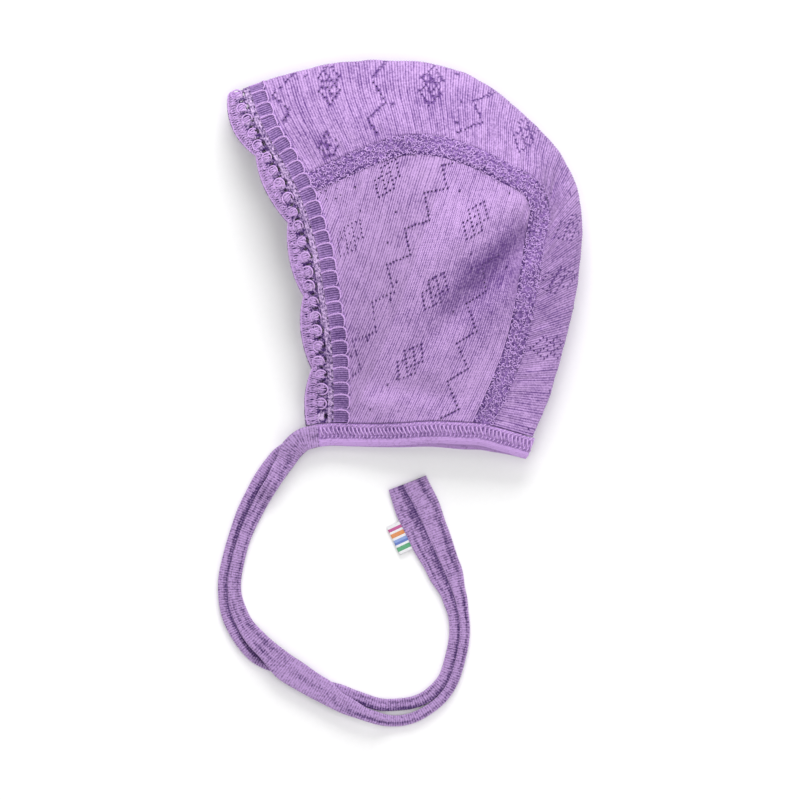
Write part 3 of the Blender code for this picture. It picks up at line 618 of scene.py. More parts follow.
def lay_some(plan, half):
    """Points and normals of the surface over a list of places in plan."""
    distance, inwards = from_fold(plan)
    inset = 1 - np.clip(distance / FOLD_ROUND, 0, 1)
    level = np.sqrt(1 - inset**2)[:, None]
    fold, top = fold_height(plan)[:, None], dome(plan)[:, None]
    fold_slope, top_slope = slopes(fold_height, plan), slopes(dome, plan)
    ceiling, ceiling_slope = (top, top_slope) if half > 0 else (0, 0)
    height = fold + (ceiling - fold) * level
    gradual = fold_slope + (ceiling_slope - fold_slope) * level
    steep = (ceiling - fold) * inset[:, None] / FOLD_ROUND * inwards
    normal = unit(half * np.column_stack([-gradual * level - steep, level]))
    slip = NAPE_SLIP * near(plan, SLIP_AT) * smoothstep(1 - inset) if half < 0 else 0
    return np.column_stack([plan[:, 0], plan[:, 1] - slip, height, normal])


def lay(plan, half):
    """Points of the outer surface over the plan, each with its normal. half is +1 above and -1 below."""
    flat = plan.reshape(-1, 2)
    parts = [lay_some(flat[k : k + LAY_CHUNK], half) for k in range(0, len(flat), LAY_CHUNK)]
    return np.concatenate(parts).reshape(*plan.shape[:-1], 6)


def coons(bottom, top, start, end, shares):
    """Patch in plan between four curves: bottom and top run alongside, start and end join them."""
    rows = np.linspace(0, 1, len(bottom))[:, None, None]
    v = np.asarray(shares)[None, :, None]
    ruled = (1 - v) * bottom[:, None] + v * top[:, None]
    joined = (1 - rows) * start[None] + rows * end[None]
    corners = (1 - rows) * ((1 - v) * bottom[0] + v * top[0]) + rows * ((1 - v) * bottom[-1] + v * top[-1])
    return ruled + joined - corners


def pull_ends(curve, start, end):
    """The curve with its two ends moved to these points, fading out along it."""
    share = np.linspace(0, 1, len(curve))[:, None]
    at_start = smoothstep(1 - share / END_FADE)
    at_end = smoothstep(1 - (1 - share) / END_FADE)
    return curve + at_start * (start - curve[0]) + at_end * (end - curve[-1])


def row_lengths(grid):
    steps = np.linalg.norm(np.diff(grid[..., :3], axis=0), axis=2).mean(axis=1)
    return np.concatenate([[0.0], np.cumsum(steps)])


def rows_at(grid, lengths, wanted):
    flat = grid.reshape(len(grid), -1)
    found = [np.interp(wanted, lengths, flat[:, k]) for k in range(flat.shape[1])]
    return np.stack(found, axis=1).reshape(len(wanted), *grid.shape[1:])


def even_rows(grid, rows):
    """The grid resampled to this many rows, evenly spaced along the surface."""
    lengths = row_lengths(grid)
    return rows_at(grid, lengths, np.linspace(0, lengths[-1], rows))


def even_columns(grid, columns):
    return even_rows(grid.swapaxes(0, 1), columns).swapaxes(0, 1)


def over_the_fold(plan):
    """Lays rows whose last one is on the fold on the upper half, then back along the lower one."""
    return np.concatenate([lay(plan, 1), lay(plan[::-1][1:], -1)])


# Meshes


def add_object(name, data):
    obj = bpy.data.objects.new(name, data)
    bpy.context.scene.collection.objects.link(obj)
    return obj


def point_vectors(mesh, key, vectors):
    """Gives each point of a mesh its vector, under this name."""
    layer = mesh.attributes.new(key, "FLOAT_VECTOR", "POINT")
    layer.data.foreach_set("vector", np.ascontiguousarray(vectors, np.float32).ravel())


def mesh_object(name, points, quads, material, stitch=None):
    """Object of quads. stitch gives each point its rib, its course and how much painted shade, with some
    random tone, it takes.
    """
    mesh = bpy.data.meshes.new(name)
    mesh.vertices.add(len(points))
    mesh.vertices.foreach_set("co", np.ascontiguousarray(points, np.float32).ravel())
    mesh.loops.add(quads.size)
    mesh.loops.foreach_set("vertex_index", np.ascontiguousarray(quads, np.int32).ravel())
    mesh.polygons.add(len(quads))
    mesh.polygons.foreach_set("loop_start", np.arange(0, quads.size, 4, dtype=np.int32))
    mesh.update(calc_edges=True)
    if stitch is not None:
        point_vectors(mesh, "stitch", stitch)
    mesh.materials.append(material)
    model = bmesh.new()
    model.from_mesh(mesh)
    bmesh.ops.remove_doubles(model, verts=model.verts, dist=MERGE)
    model.to_mesh(mesh)
    model.free()
    mesh.shade_smooth()
    return add_object(name, mesh)


def tube_object(name, points, material, stitch):
    """Closed tube through rows of points that go round from left to up, with quads over both ends."""
    rows, sides = points.shape[:2]
    index = np.arange(rows * sides).reshape(rows, sides)
    beside = np.roll(index, -1, axis=1)
    quads = [np.stack([index[:-1], beside[:-1], beside[1:], index[1:]], axis=2).reshape(-1, 4)]
    for end, turned in ((index[0], False), (index[-1], True)):
        strips = np.array([[end[k], end[-k - 1], end[-k - 2], end[k + 1]] for k in range(sides // 2 - 1)])
        quads.append(strips[:, ::-1] if turned else strips)
    return mesh_object(name, points.reshape(-1, 3), np.concatenate(quads), material, stitch.reshape(-1, 3))


def faces_out(grid):
    """Whether the grid's quads, as it lists them, face the way of its normals."""
    turned = np.cross(np.gradient(grid[..., :3], axis=0), np.gradient(grid[..., :3], axis=1))
    return (turned * grid[..., 3:]).sum() > 0


def resting(places, normals):
    """1 where what is raised stands free, falling to 0 where the cloth lies on the surface below."""
    return np.where(normals[..., 2] < 0, smoothstep(places[..., 2] / REST_BLEND), 1.0)


def cloth(name, grid, outer, inner, material, keep=None, eyelets=(), stitch=None):
    """Closed cloth between two offsets of a grid. keep marks the cells that are there.

    eyelets lists (row, column, shift): a hole two cells wide about that corner, moved along it and rounded.
    """
    rows, columns = grid.shape[:2]
    outer = np.broadcast_to(outer, (rows, columns)).copy()
    inner = np.broadcast_to(inner, (rows, columns)).copy()
    keep = np.ones((rows - 1, columns - 1), bool) if keep is None else keep.copy()
    eyelets = np.array(eyelets, float).reshape(-1, 3)
    holes, shifts = eyelets[:, :2].astype(int), eyelets[:, 2]
    if not faces_out(grid):
        grid, outer, inner, keep = grid[:, ::-1], outer[:, ::-1], inner[:, ::-1], keep[:, ::-1]
        holes[:, 1] = columns - 2 - holes[:, 1]
        shifts = -shifts
        stitch = stitch[:, ::-1] if stitch is not None else None
    keep[holes[:, 0] - 1, holes[:, 1]] = False
    keep[holes[:, 0], holes[:, 1]] = False
    ring_rows = holes[:, 0, None] + np.array([-1, 0, 1, 1, 0, -1])
    ring_columns = holes[:, 1, None] + np.array([0, 0, 0, 1, 1, 1])
    outer[ring_rows, ring_columns] = EYELET_RIM
    if stitch is not None:
        stitch, below = stitch.copy(), stitch.copy()
        # Painted shade round each hole's rim outside, and the deeper painted shade of a hole on its walls
        # inside
        stitch[ring_rows, ring_columns, 2] = EYELET_RIM_SHADE
        below[ring_rows, ring_columns, 2] = 2
    places, normals = grid[..., :3], grid[..., 3:]
    free = resting(places, normals)
    outside = places + normals * (np.minimum(outer, 0) + np.maximum(outer, 0) * free)[..., None]
    inside = places + normals * inner[..., None]
    for layer in (outside, inside):
        ring = layer[ring_rows, ring_columns]
        middle = ring.mean(axis=1, keepdims=True)
        moved = (ring[:, 3:].mean(axis=1) - ring[:, :3].mean(axis=1)) * shifts[:, None]
        spokes = ring - middle
        layer[ring_rows, ring_columns] = middle + moved[:, None] + spokes * (
            EYELET_RADIUS / np.maximum(np.linalg.norm(spokes, axis=2, keepdims=True), MERGE)
        )
    count = rows * columns
    index = np.arange(count).reshape(rows, columns)
    corners = [index[:-1, :-1], index[1:, :-1], index[1:, 1:], index[:-1, 1:]]
    ring = np.stack([c[keep] for c in corners], axis=1)
    quads = [ring, ring[:, ::-1] + count]
    around = np.pad(keep, 1)
    beside = [around[1:-1, :-2], around[2:, 1:-1], around[1:-1, 2:], around[:-2, 1:-1]]
    for k, neighbour in enumerate(beside):
        rim = keep & ~neighbour
        a, b = corners[k][rim], corners[(k + 1) % 4][rim]
        quads.append(np.stack([b, a, a + count, b + count], axis=1))
    points = np.concatenate([outside.reshape(-1, 3), inside.reshape(-1, 3)])
    if stitch is not None:
        stitch = np.concatenate([stitch.reshape(-1, 3), below.reshape(-1, 3)])
    return mesh_object(name, points, np.concatenate(quads), material, stitch)


def place_on(grid, rows, columns):
    """Points, normals and directions along the rows of a grid, at these fractional rows and columns."""
    rows = np.clip(rows, 0, len(grid) - 1.0001)
    columns = np.clip(columns, 0, grid.shape[1] - 1.0001)
    r, c = rows.astype(int), columns.astype(int)
    u, v = (rows - r)[..., None], (columns - c)[..., None]
    low = grid[r, c] * (1 - v) + grid[r, c + 1] * v
    high = grid[r + 1, c] * (1 - v) + grid[r + 1, c + 1] * v
    found = low * (1 - u) + high * u
    return found[..., :3], unit(found[..., 3:]), unit((high - low)[..., :3])


# Materials


def add_node(tree, kind, inputs=None, **settings):
    """Adds a node, sets its properties, and links or fills its inputs."""
    node = tree.nodes.new(kind)
    for key, value in settings.items():
        setattr(node, key, value)
    for key, value in (inputs or {}).items():
        if isinstance(value, bpy.types.NodeSocket):
            tree.links.new(value, node.inputs[key])
        else:
            node.inputs[key].default_value = value
    return node


def new_material(name):
    """Material with its node tree, its shader and the place on the object."""
    material = bpy.data.materials.new(name)
    material.use_nodes = True
    tree = material.node_tree
    where = add_node(tree, "ShaderNodeTexCoord").outputs["Object"]
    return material, tree, tree.nodes["Principled BSDF"], where


def stitch_values(tree):
    """The three values of the stitch attribute."""
    stitch = add_node(tree, "ShaderNodeAttribute", attribute_name="stitch").outputs["Vector"]
    return add_node(tree, "ShaderNodeSeparateXYZ", {"Vector": stitch}).outputs[:3]


def sums(tree, operation, *values, clamp=False):
    inputs = dict(enumerate(values))
    return add_node(tree, "ShaderNodeMath", inputs, operation=operation, use_clamp=clamp).outputs[0]


def noise(tree, where, scale, detail=2.0, roughness=0.5):
    inputs = {"Vector": where, "Scale": scale, "Detail": detail, "Roughness": roughness}
    return add_node(tree, "ShaderNodeTexNoise", inputs).outputs["Fac"]


def blend(tree, share, first, second):
    return add_node(tree, "ShaderNodeMix", {0: share, 6: first, 7: second}, data_type="RGBA").outputs[2]


def bumped(tree, height, distance, strength, before=None):
    """Normal of the surface with this height over it, on top of an earlier one."""
    inputs = {"Height": height, "Distance": distance, "Strength": strength}
    if before:
        inputs["Normal"] = before
    return add_node(tree, "ShaderNodeBump", inputs).outputs[0]


def cotton(
    name, light, dark, groove_tone=1.0, loop_height=0.00010, loop_tone=0.12, fleck=0.6, streak=0.0
):
    """Soft combed cotton yarn. The stitch attribute, where a mesh has it, gives V-shaped loops and the painted
    shade of grooves, creases and holes.

    fleck is the unevenness of the yarn, streak that of one rib beside another. dark is the painted shade
    colour. Above 1 a groove is a pit, painted in the deeper shade of a hole.
    """
    material, tree, shader, where = new_material(name)
    rib, course, groove = stitch_values(tree)
    across = sums(tree, "ABSOLUTE", sums(tree, "SUBTRACT", sums(tree, "FRACT", rib), 0.5))
    slanted = sums(tree, "ADD", course, across)
    loops = sums(tree, "SINE", sums(tree, "MULTIPLY", slanted, 2 * math.pi))
    cloud = noise(tree, where, 60.0, 3.0)
    yarn = noise(tree, where, 900.0, 3.0, 0.6)
    long_course = sums(tree, "MULTIPLY", course, 0.12)
    stretched = add_node(tree, "ShaderNodeCombineXYZ", {"X": rib, "Y": long_course}).outputs[0]
    streaks = noise(tree, stretched, 0.9, 2.0, 0.6)
    fibre = noise(tree, where, 3200.0, 2.0, 0.6)
    # Painted shade from the stitch value, then the yarn's random unevenness
    tone = sums(tree, "MULTIPLY", groove, groove_tone)
    for pattern, amount in ((cloud, CLOUD_TONE), (yarn, fleck), (streaks, streak)):
        tone = sums(tree, "MULTIPLY_ADD", sums(tree, "SUBTRACT", pattern, 0.5), amount * 2, tone)
    tone = sums(tree, "MULTIPLY_ADD", loops, -loop_tone, tone, clamp=True)
    # Painted shade of a hole's dark inside, above 1
    hole_shade = sums(tree, "SUBTRACT", groove, 1.0, clamp=True)
    colour = blend(tree, hole_shade, blend(tree, tone, srgb(light), srgb(dark)), srgb(HOLE_SHADE_COLOUR))
    tree.links.new(colour, shader.inputs["Base Color"])
    normal = bumped(tree, loops, loop_height, 0.7)
    normal = bumped(tree, yarn, 0.00022, 0.6, normal)
    tree.links.new(bumped(tree, fibre, 0.00006, 0.5, normal), shader.inputs["Normal"])
    rough = add_node(tree, "ShaderNodeMapRange", {"Value": yarn, "To Min": 0.80, "To Max": 0.97})
    tree.links.new(rough.outputs[0], shader.inputs["Roughness"])
    shader.inputs["Specular IOR Level"].default_value = 0.25
    shader.inputs["Sheen Weight"].default_value = 0.22
    shader.inputs["Sheen Roughness"].default_value = 0.45
    shader.inputs["Sheen Tint"].default_value = srgb("#E9D8F3")
    return material


# Node trees that repeat stitches and spin cords


def node_group(name, inputs):
    """Empty geometry node tree with these named inputs after its geometry."""
    tree = bpy.data.node_groups.new(name, "GeometryNodeTree")
    tree.interface.new_socket("Geometry", in_out="INPUT", socket_type="NodeSocketGeometry")
    for label, kind in inputs:
        tree.interface.new_socket(label, in_out="INPUT", socket_type="NodeSocket" + kind)
    tree.interface.new_socket("Geometry", in_out="OUTPUT", socket_type="NodeSocketGeometry")
    return tree, add_node(tree, "NodeGroupInput").outputs


def close_group(tree, geometry, material):
    finished = add_node(tree, "GeometryNodeSetMaterial", {"Geometry": geometry, "Material": material})
    add_node(tree, "NodeGroupOutput", {"Geometry": finished.outputs[0]})
    return tree


def random_value(tree, kind, low, high, seed):
    """A value drawn between two limits for each stitch, from the sockets that this kind of value has."""
    node = add_node(tree, "FunctionNodeRandomValue", data_type=kind)
    for key, value in (("Min", low), ("Max", high), ("Seed", seed)):
        tree.links.new(value, [s for s in node.inputs if s.name == key and s.enabled][0])
    return [s for s in node.outputs if s.enabled][0]


def stitch_tree():
    """One stitch on each point, its length along the ahead attribute and its top along the up attribute."""
    wanted = [
        ("Stitch", "Object"), ("Smallest", "Float"), ("Largest", "Float"), ("Turn", "Float"),
        ("Lean", "Float"), ("Seed", "Int"), ("Material", "Material"),
    ]
    tree, given = node_group("Stitches on points", wanted)
    shape = add_node(tree, "GeometryNodeObjectInfo", {"Object": given["Stitch"]}).outputs["Geometry"]
    up, ahead = (
        add_node(tree, "GeometryNodeInputNamedAttribute", {"Name": key}, data_type="FLOAT_VECTOR").outputs[0]
        for key in ("up", "ahead")
    )
    axes = dict(primary_axis="Z", secondary_axis="X")
    facing = add_node(tree, "FunctionNodeAxesToRotation", {0: up, 1: ahead}, **axes).outputs[0]
    size = random_value(tree, "FLOAT", given["Smallest"], given["Largest"], given["Seed"])
    points = {"Points": given["Geometry"], "Instance": shape, "Rotation": facing, "Scale": size}
    placed = add_node(tree, "GeometryNodeInstanceOnPoints", points).outputs[0]
    most = {"X": given["Lean"], "Y": given["Lean"], "Z": given["Turn"]}
    limits = add_node(tree, "ShaderNodeCombineXYZ", most).outputs[0]
    lowest = add_node(tree, "ShaderNodeVectorMath", {0: limits, "Scale": -1.0}, operation="SCALE").outputs[0]
    angles = random_value(tree, "FLOAT_VECTOR", lowest, limits, given["Seed"])
    spun = add_node(tree, "FunctionNodeEulerToRotation", {0: angles}).outputs[0]
    turned = add_node(tree, "GeometryNodeRotateInstances", {"Instances": placed, "Rotation": spun})
    real = add_node(tree, "GeometryNodeRealizeInstances", {0: turned.outputs[0]})
    return close_group(tree, real.outputs[0], given["Material"])


def cord_tree():
    """A round cord along every line of edges."""
    wanted = [("Radius", "Float"), ("Sides", "Int"), ("Material", "Material")]
    tree, given = node_group("Cords along lines", wanted)
    line = add_node(tree, "GeometryNodeMeshToCurve", {"Mesh": given["Geometry"]}).outputs[0]
    round_profile = {"Resolution": given["Sides"], "Radius": given["Radius"]}
    profile = add_node(tree, "GeometryNodeCurvePrimitiveCircle", round_profile).outputs[0]
    inputs = {"Curve": line, "Profile Curve": profile, "Fill Caps": True}
    tube = add_node(tree, "GeometryNodeCurveToMesh", inputs).outputs[0]
    return close_group(tree, tube, given["Material"])


def grow(name, points, tree, values, edges=(), directions=None):
    """Runs a node tree over points or lines and keeps the plain mesh that comes out, above the floor."""
    mesh = bpy.data.meshes.new(name)
    mesh.from_pydata([tuple(p) for p in points], list(edges), [])
    for key, vectors in (directions or {}).items():
        point_vectors(mesh, key, vectors)
    obj = add_object(name, mesh)
    modifier = obj.modifiers.new(tree.name, "NODES")
    modifier.node_group = tree
    for item in tree.interface.items_tree:
        if item.in_out == "INPUT" and item.name in values:
            modifier[item.identifier] = values[item.name]
    bpy.context.view_layer.update()
    evaluated = obj.evaluated_get(bpy.context.evaluated_depsgraph_get())
    grown = bpy.data.meshes.new_from_object(evaluated)
    obj.modifiers.remove(modifier)
    obj.data = grown
    bpy.data.meshes.remove(mesh)
    grown.name = name
    if not len(grown.polygons):
        raise RuntimeError(f"{name} grew no faces")
    places = np.empty(len(grown.vertices) * 3, np.float32)
    grown.vertices.foreach_get("co", places)
    places[2::3] = np.maximum(places[2::3], FLOOR_CLEAR)
    grown.vertices.foreach_set("co", places)
    grown.shade_smooth()
    return obj


def stitch_shape(name, path, radius, sides=5, plump=0.0):
    """Short closed length of yarn along a path, to be repeated. plump swells its middle."""
    path = np.asarray(path, float)
    ahead = unit(np.gradient(path, axis=0))
    side = unit(np.cross(ahead, (0.0, 0.0, 1.0)))
    up = np.cross(side, ahead)
    swell = radius * (1 + plump * np.sin(math.pi * np.linspace(0, 1, len(path))))
    angles = np.arange(sides) * 2 * math.pi / sides
    ring = side[:, None] * np.cos(angles)[None, :, None] + up[:, None] * np.sin(angles)[None, :, None]
    points = (path[:, None] + ring * swell[:, None, None]).reshape(-1, 3)
    faces = [list(range(sides)), [(len(path) - 1) * sides + k for k in range(sides)][::-1]]
    for r in range(len(path) - 1):
        for k in range(sides):
            a, b = r * sides + k, r * sides + (k + 1) % sides
            faces.append([a, a + sides, b + sides, b])
    mesh = bpy.data.meshes.new(name)
    mesh.from_pydata([tuple(p) for p in points], [], faces)
    return add_object(name, mesh)


def repeat(name, shape, places, facing, material, chance):
    """Repeats a stitch on these places, each copy's size, turn and lean left to chance, then discards it."""
    sizes, turn, lean, seed = chance
    values = {
        "Stitch": shape, "Smallest": sizes[0], "Largest": sizes[1], "Turn": turn, "Lean": lean, "Seed": seed,
        "Material": material,
    }
    grown = grow(name, places, tree_for("Stitches on points"), values, directions=facing)
    bpy.data.objects.remove(shape, do_unlink=True)
    return grown


def spin(name, paths, radius, sides, material):
    """Round cords along these paths."""
    edges, first = [], 0
    for path in paths:
        edges += [(first + k, first + k + 1) for k in range(len(path) - 1)]
        first += len(path)
    values = {"Radius": radius, "Sides": sides, "Material": material}
    return grow(name, np.concatenate(paths), tree_for("Cords along lines"), values, edges=edges)


def bar(half, rise):
    """Straight path of this half length, humped by rise in its middle."""
    hump = rise * np.sin(np.linspace(0, math.pi, BAR_POINTS))
    return np.column_stack([np.linspace(-half, half, BAR_POINTS), np.zeros(BAR_POINTS), hump])


def arc(radius, start, end, count, rise=0.0):
    """Flat arc between two angles in degrees, humped by rise in its middle."""
    angles = np.radians(np.linspace(start, end, count))
    hump = rise * np.sin(np.linspace(0, math.pi, count))
    return np.column_stack([radius * np.cos(angles), radius * np.sin(angles), hump])


def dress(obj, slot, *nodes):
    """Makes a finished piece ride on the bonnet and stand for these solids, which it hides. slot is not used.
    """
    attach(obj, "root")
    if nodes:
        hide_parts(*nodes)
    return obj


# Knit panels


def ripple(plan):
    """Slight unevenness of lying cloth, from -1 to 1."""
    x, y = plan[..., 0] / MILLIMETRE, plan[..., 1] / MILLIMETRE
    total = 0
    for along_x, along_y, weight, bend, bend_x, bend_y in RIPPLE_WAVES:
        total = total + weight * np.sin(along_x * x + along_y * y + bend * np.sin(bend_x * x + bend_y * y))
    return total / sum(wave[2] for wave in RIPPLE_WAVES)


def seam_edge(offset):
    """Curve in plan beside the seam, towards the crown if offset is positive, and where it ends."""
    face_length = arc_lengths(FACE_CURVE)[-1]
    neck_length = arc_lengths(NECK_CURVE)[-1]
    face_share = share_at(FACE_CURVE, SEAM_CURVE[0]) - offset / face_length
    neck_share = share_at(NECK_CURVE, SEAM_CURVE[-1]) + offset / neck_length
    curve = SEAM_CURVE + left_normals(SEAM_CURVE) * offset
    start = along(FACE_CURVE, [face_share])[0]
    end = along(NECK_CURVE, [neck_share])[0]
    return pull_ends(curve, start, end), face_share, neck_share


def side_plan(rows, columns):
    """Cheek panel in plan. Each row is a line along a rib, from the face or neck edge up to the seam."""
    edge, face_share, neck_share = seam_edge(-SEAM_WIDTH / 2 - GAP)
    chin = share_at(NECK_CURVE, FACE_CURVE[-1])
    turn = share_at(edge, in_plan(SEAM[SEAM_TURN]))
    f = np.linspace(0, 1, rows)
    beside_face = (f[f < FACE_RIBS] / FACE_RIBS) ** FACE_SPREAD
    beside_neck = (f[f >= FACE_RIBS] - FACE_RIBS) / (1 - FACE_RIBS)
    bottom = np.concatenate(
        [
            along(FACE_CURVE, face_share + (1 - face_share) * beside_face),
            along(NECK_CURVE, chin + (neck_share - chin) * beside_neck),
        ]
    )
    shares = np.linspace(0, 1, columns)
    start = np.repeat(edge[:1], columns, axis=0)
    top = along(edge, turn * np.interp(f, (0, FACE_RIBS, 1), (0, CHIN_ON_SEAM, 1)))
    return coons(bottom, top, start, along(edge, 1 + (turn - 1) * shares), shares)


def centre_grid(rows, columns):
    """Strip over the crown, laid from the upper seam round the fold to the lower one. Each row is a rib."""
    edge, face_share, neck_share = seam_edge(SEAM_WIDTH / 2 + GAP)
    shares = np.cos(np.linspace(math.pi / 2, 0, columns))
    f = np.linspace(0, 1, rows)
    start = along(FACE_CURVE, face_share * (1 - shares))
    end = along(NECK_CURVE, neck_share + (1 - neck_share) * shares)
    plan = coons(along(edge, f), along(CROWN_CURVE, f), start, end, shares)
    laid = np.concatenate([lay(plan, 1), lay(plan[:, ::-1][:, 1:], -1)], axis=1)
    return even_columns(laid, columns)


def cells_at(plan, points):
    """Fractional rows and columns of these points in plan."""
    found = []
    for point in points:
        r, c = np.clip(nearest_cell(plan, point), 1, np.array(plan.shape[:2]) - 2)
        steps = np.column_stack([plan[r + 1, c] - plan[r - 1, c], plan[r, c + 1] - plan[r, c - 1]]) / 2
        if np.isfinite(steps).all() and abs(np.linalg.det(steps)) > SMALLEST_CELL:
            found.append(np.array([r, c]) + np.clip(np.linalg.solve(steps, point - plan[r, c]), -1, 1))
    return np.array(found)


def zigzag_points(corners):
    """Evenly spaced points along a zigzag, closer together on the runs that lean to the left."""
    points = np.array([in_plan(c) for c in corners])
    found = [points[:1]]
    for before, after in zip(points[:-1], points[1:]):
        spacing = ZIGZAG_SPACING[0 if after[0] < before[0] else 1]
        steps = max(1, round(np.linalg.norm(after - before) / spacing))
        found.append(before + (after - before) * (np.arange(1, steps + 1) / steps)[:, None])
    return np.concatenate(found)


def diamond_points(plan, middle):
    """Points of the chart about this place, turned with the rib that runs through it."""
    centre = in_plan(middle)
    r, c = nearest_cell(plan, centre)
    rib = plan[r, min(c + 1, plan.shape[1] - 1)] - plan[r, c - 1]
    turns = [math.atan2(rib[1], rib[0]) + math.radians(turn) for _, turn in CHART_STEPS]
    lengths = [length for length, _ in CHART_STEPS]
    steps = np.array([(length * math.cos(t), length * math.sin(t)) for length, t in zip(lengths, turns)])
    marks = [(x, y) for y, row in enumerate(DIAMOND_CHART) for x, mark in enumerate(row) if mark == "#"]
    return centre + (np.array(marks) - len(DIAMOND_CHART) // 2) @ steps


def eyelets_on(grid, samples, zigzags, diamonds, seed):
    """Holes of these patterns as (row, column, shift), clear of each other, on top if the grid has a top."""
    plan = grid[..., :2]
    on_top = grid[..., 5:] > 0
    seen = np.where(on_top, plan, np.inf) if on_top.any() else plan
    rows, columns = plan.shape[:2]
    chance = np.random.default_rng(seed)
    row_margin, column_margin = STRAY_MARGINS
    strays = [
        chance.integers(row_margin, rows - row_margin, STRAY_EYELETS),
        chance.integers(column_margin, columns - column_margin - 1, STRAY_EYELETS),
    ]
    points = [zigzag_points(z) for z in zigzags] + [diamond_points(seen, m) for m in diamonds]
    cells = [cells_at(seen, np.concatenate(points)), np.column_stack(strays)]
    rows_apart, columns_apart = HOLES_APART
    found = []
    for row, place in np.concatenate(cells):
        r = int(round(row))
        for c in sorted((int(place), int(place - 0.5), int(place + 0.5)), key=lambda c: abs(place - c - 0.5)):
            inside = samples <= r < rows - samples and 2 <= c < columns - 3
            wide = np.linalg.norm(plan[min(r + samples, rows - 1), c] - plan[r, c]) if inside else 0
            clear = all(abs(r - a) >= rows_apart or abs(c - b) >= columns_apart for a, b, _ in found)
            if wide > LEAST_ROOM * COURSE and clear:
                found.append((r, c, place - c - 0.5))
                break
    return found


def nearest_cell(plan, point):
    away = ((plan - point) ** 2).sum(axis=2)
    return np.unravel_index(away.argmin(), away.shape)


def knit(name, grid, samples, eyelets, groove_tone=1.0, ground_shade=0.0, first_rib=0.0):
    """Cloth whose rows follow the ribs, with this many rows to a rib and its pointelle holes cut through."""
    rows, columns = grid.shape[:2]
    groove = (np.arange(rows) % samples == 0).astype(float)[:, None] * np.ones(columns)
    steps = np.linalg.norm(np.diff(grid[..., :3], axis=1), axis=2)
    lengths = np.concatenate([np.zeros((rows, 1)), np.cumsum(steps, axis=1)], axis=1)
    from_edge = np.minimum(lengths, lengths[:, -1:] - lengths)
    rib = first_rib + np.arange(rows)[:, None] / samples * np.ones(columns)
    fade = smoothstep(from_edge / GATHER_FADE)
    wander = GATHER_WANDER[0] * np.sin(rib * GATHER_WANDER[1])
    gathers = GATHER * (1 - fade) * fade * 4 * np.sin(rib * 2 * math.pi / GATHER_RIBS + wander)
    lift = RIPPLE * ripple(grid[..., :2]) * fade + gathers
    lift *= resting(grid[..., :3], grid[..., 3:])
    # Painted shade: in each groove, at a random strength for each rib, and over the ground
    uneven = np.random.default_rng(rows).uniform(*RIB_GROOVE_SHADE_RANGE, rows)[:, None]
    # Painted shade along the cheek's valley, on the upper half only
    valley_shade = hills(grid[..., :2], PAINTED_VALLEY_SHADE) * fade * (grid[..., 5] > 0)
    shade = np.clip(groove * uneven * groove_tone + ground_shade + valley_shade, 0, 1)
    upright = RIB_DEPTH * (1 - RIB_SWAY[0] * np.sin(rib * RIB_SWAY[1]) ** 2)
    stitch = np.stack([rib, lengths / COURSE, shade], axis=2)
    inner = lift - CLOTH + RIB_DEPTH * groove
    yarn = yarn_called("combed cotton rib")
    return cloth(name, grid, lift - upright * groove, inner, yarn, eyelets=eyelets, stitch=stitch)


# Seams


def seam_piece(half, name, pitch):
    """Overlocked seam: a low band that meets the knit on both sides, with knotted loops of thread over it."""
    edges = [seam_edge(offset)[0] for offset in (SEAM_WIDTH / 2 + SEAM_OVER, -SEAM_WIDTH / 2 - SEAM_OVER)]
    length = arc_lengths(SEAM_CURVE)[-1]
    rows = int(length / SEAM_STEP)
    crown_side, cheek_side = (along(edge, np.linspace(0, 1, rows))[:, None] for edge in edges)
    across = np.linspace(0, 1, SEAM_COLUMNS)
    grid = lay(crown_side * (1 - across[:, None]) + cheek_side * across[:, None], half)
    chance = np.random.default_rng(7 if half > 0 else 8)
    rough = chance.normal(0, SEAM_ROUGH, grid.shape[:2])
    crown = SEAM_RAISE * SEAM_DOME * np.sin(math.pi * across) ** 0.5
    # Painted shade along the edge beside the cheek panel, over a random tone
    dark = SEAM_EDGE_SHADE * bell(1 - across, SEAM_EDGE_SHADE_WIDTH)
    stitch = np.stack([np.clip(chance.random(grid.shape[:2]) + dark, 0, 1)] * 3, axis=2)
    yarn = yarn_called("overlock thread base")
    base = cloth(name, grid, crown + rough - SEAM_SUNK, SEAM_RAISE - SEAM_THICK, yarn, stitch=stitch)
    steps = int(length / pitch)
    shift_r, shift_c = (chance.uniform(-shift, shift, (steps, KNOT_ROWS)) for shift in KNOT_SHIFTS)
    spots_r = (np.arange(steps)[:, None] + shift_r) * (rows - 1) / steps
    spots_c = (np.arange(KNOT_ROWS) + 0.5 + shift_c) / KNOT_ROWS
    places, up, ahead = place_on(grid, spots_r.ravel(), spots_c.ravel() * (SEAM_COLUMNS - 1))
    free = resting(places, up)
    points = places + up * (KNOT_LIFT * free - KNOT_RADIUS * (1 - free))[:, None]
    loop = stitch_shape("loop", arc(KNOT_BEND, -KNOT_ARC, KNOT_ARC, 7, KNOT_RADIUS), KNOT_RADIUS, sides=4)
    facing = {"up": up, "ahead": ahead}
    return base, repeat(name + "_loops", loop, points, facing, yarn_called("overlock thread"), LOOP_CHANCE)


# Ladder band and lace


def beside_face(distances):
    """Plan rows from the chin to the fold, this far out of the face edge, all starting on the neck edge."""
    curve = FACE_CURVE[::-1]
    outwards = FACE_OUTWARDS[::-1]
    plan = curve[:, None] + outwards[:, None] * np.asarray(distances)[..., None]
    on_neck = np.interp(plan[0, :, 0], NECK_CURVE[:, 0], NECK_CURVE[:, 1])
    fade = smoothstep(1 - np.linspace(0, 1, len(curve)) / END_FADE)[:, None]
    plan[..., 1] += (on_neck - plan[0, :, 1])[None] * fade
    return plan


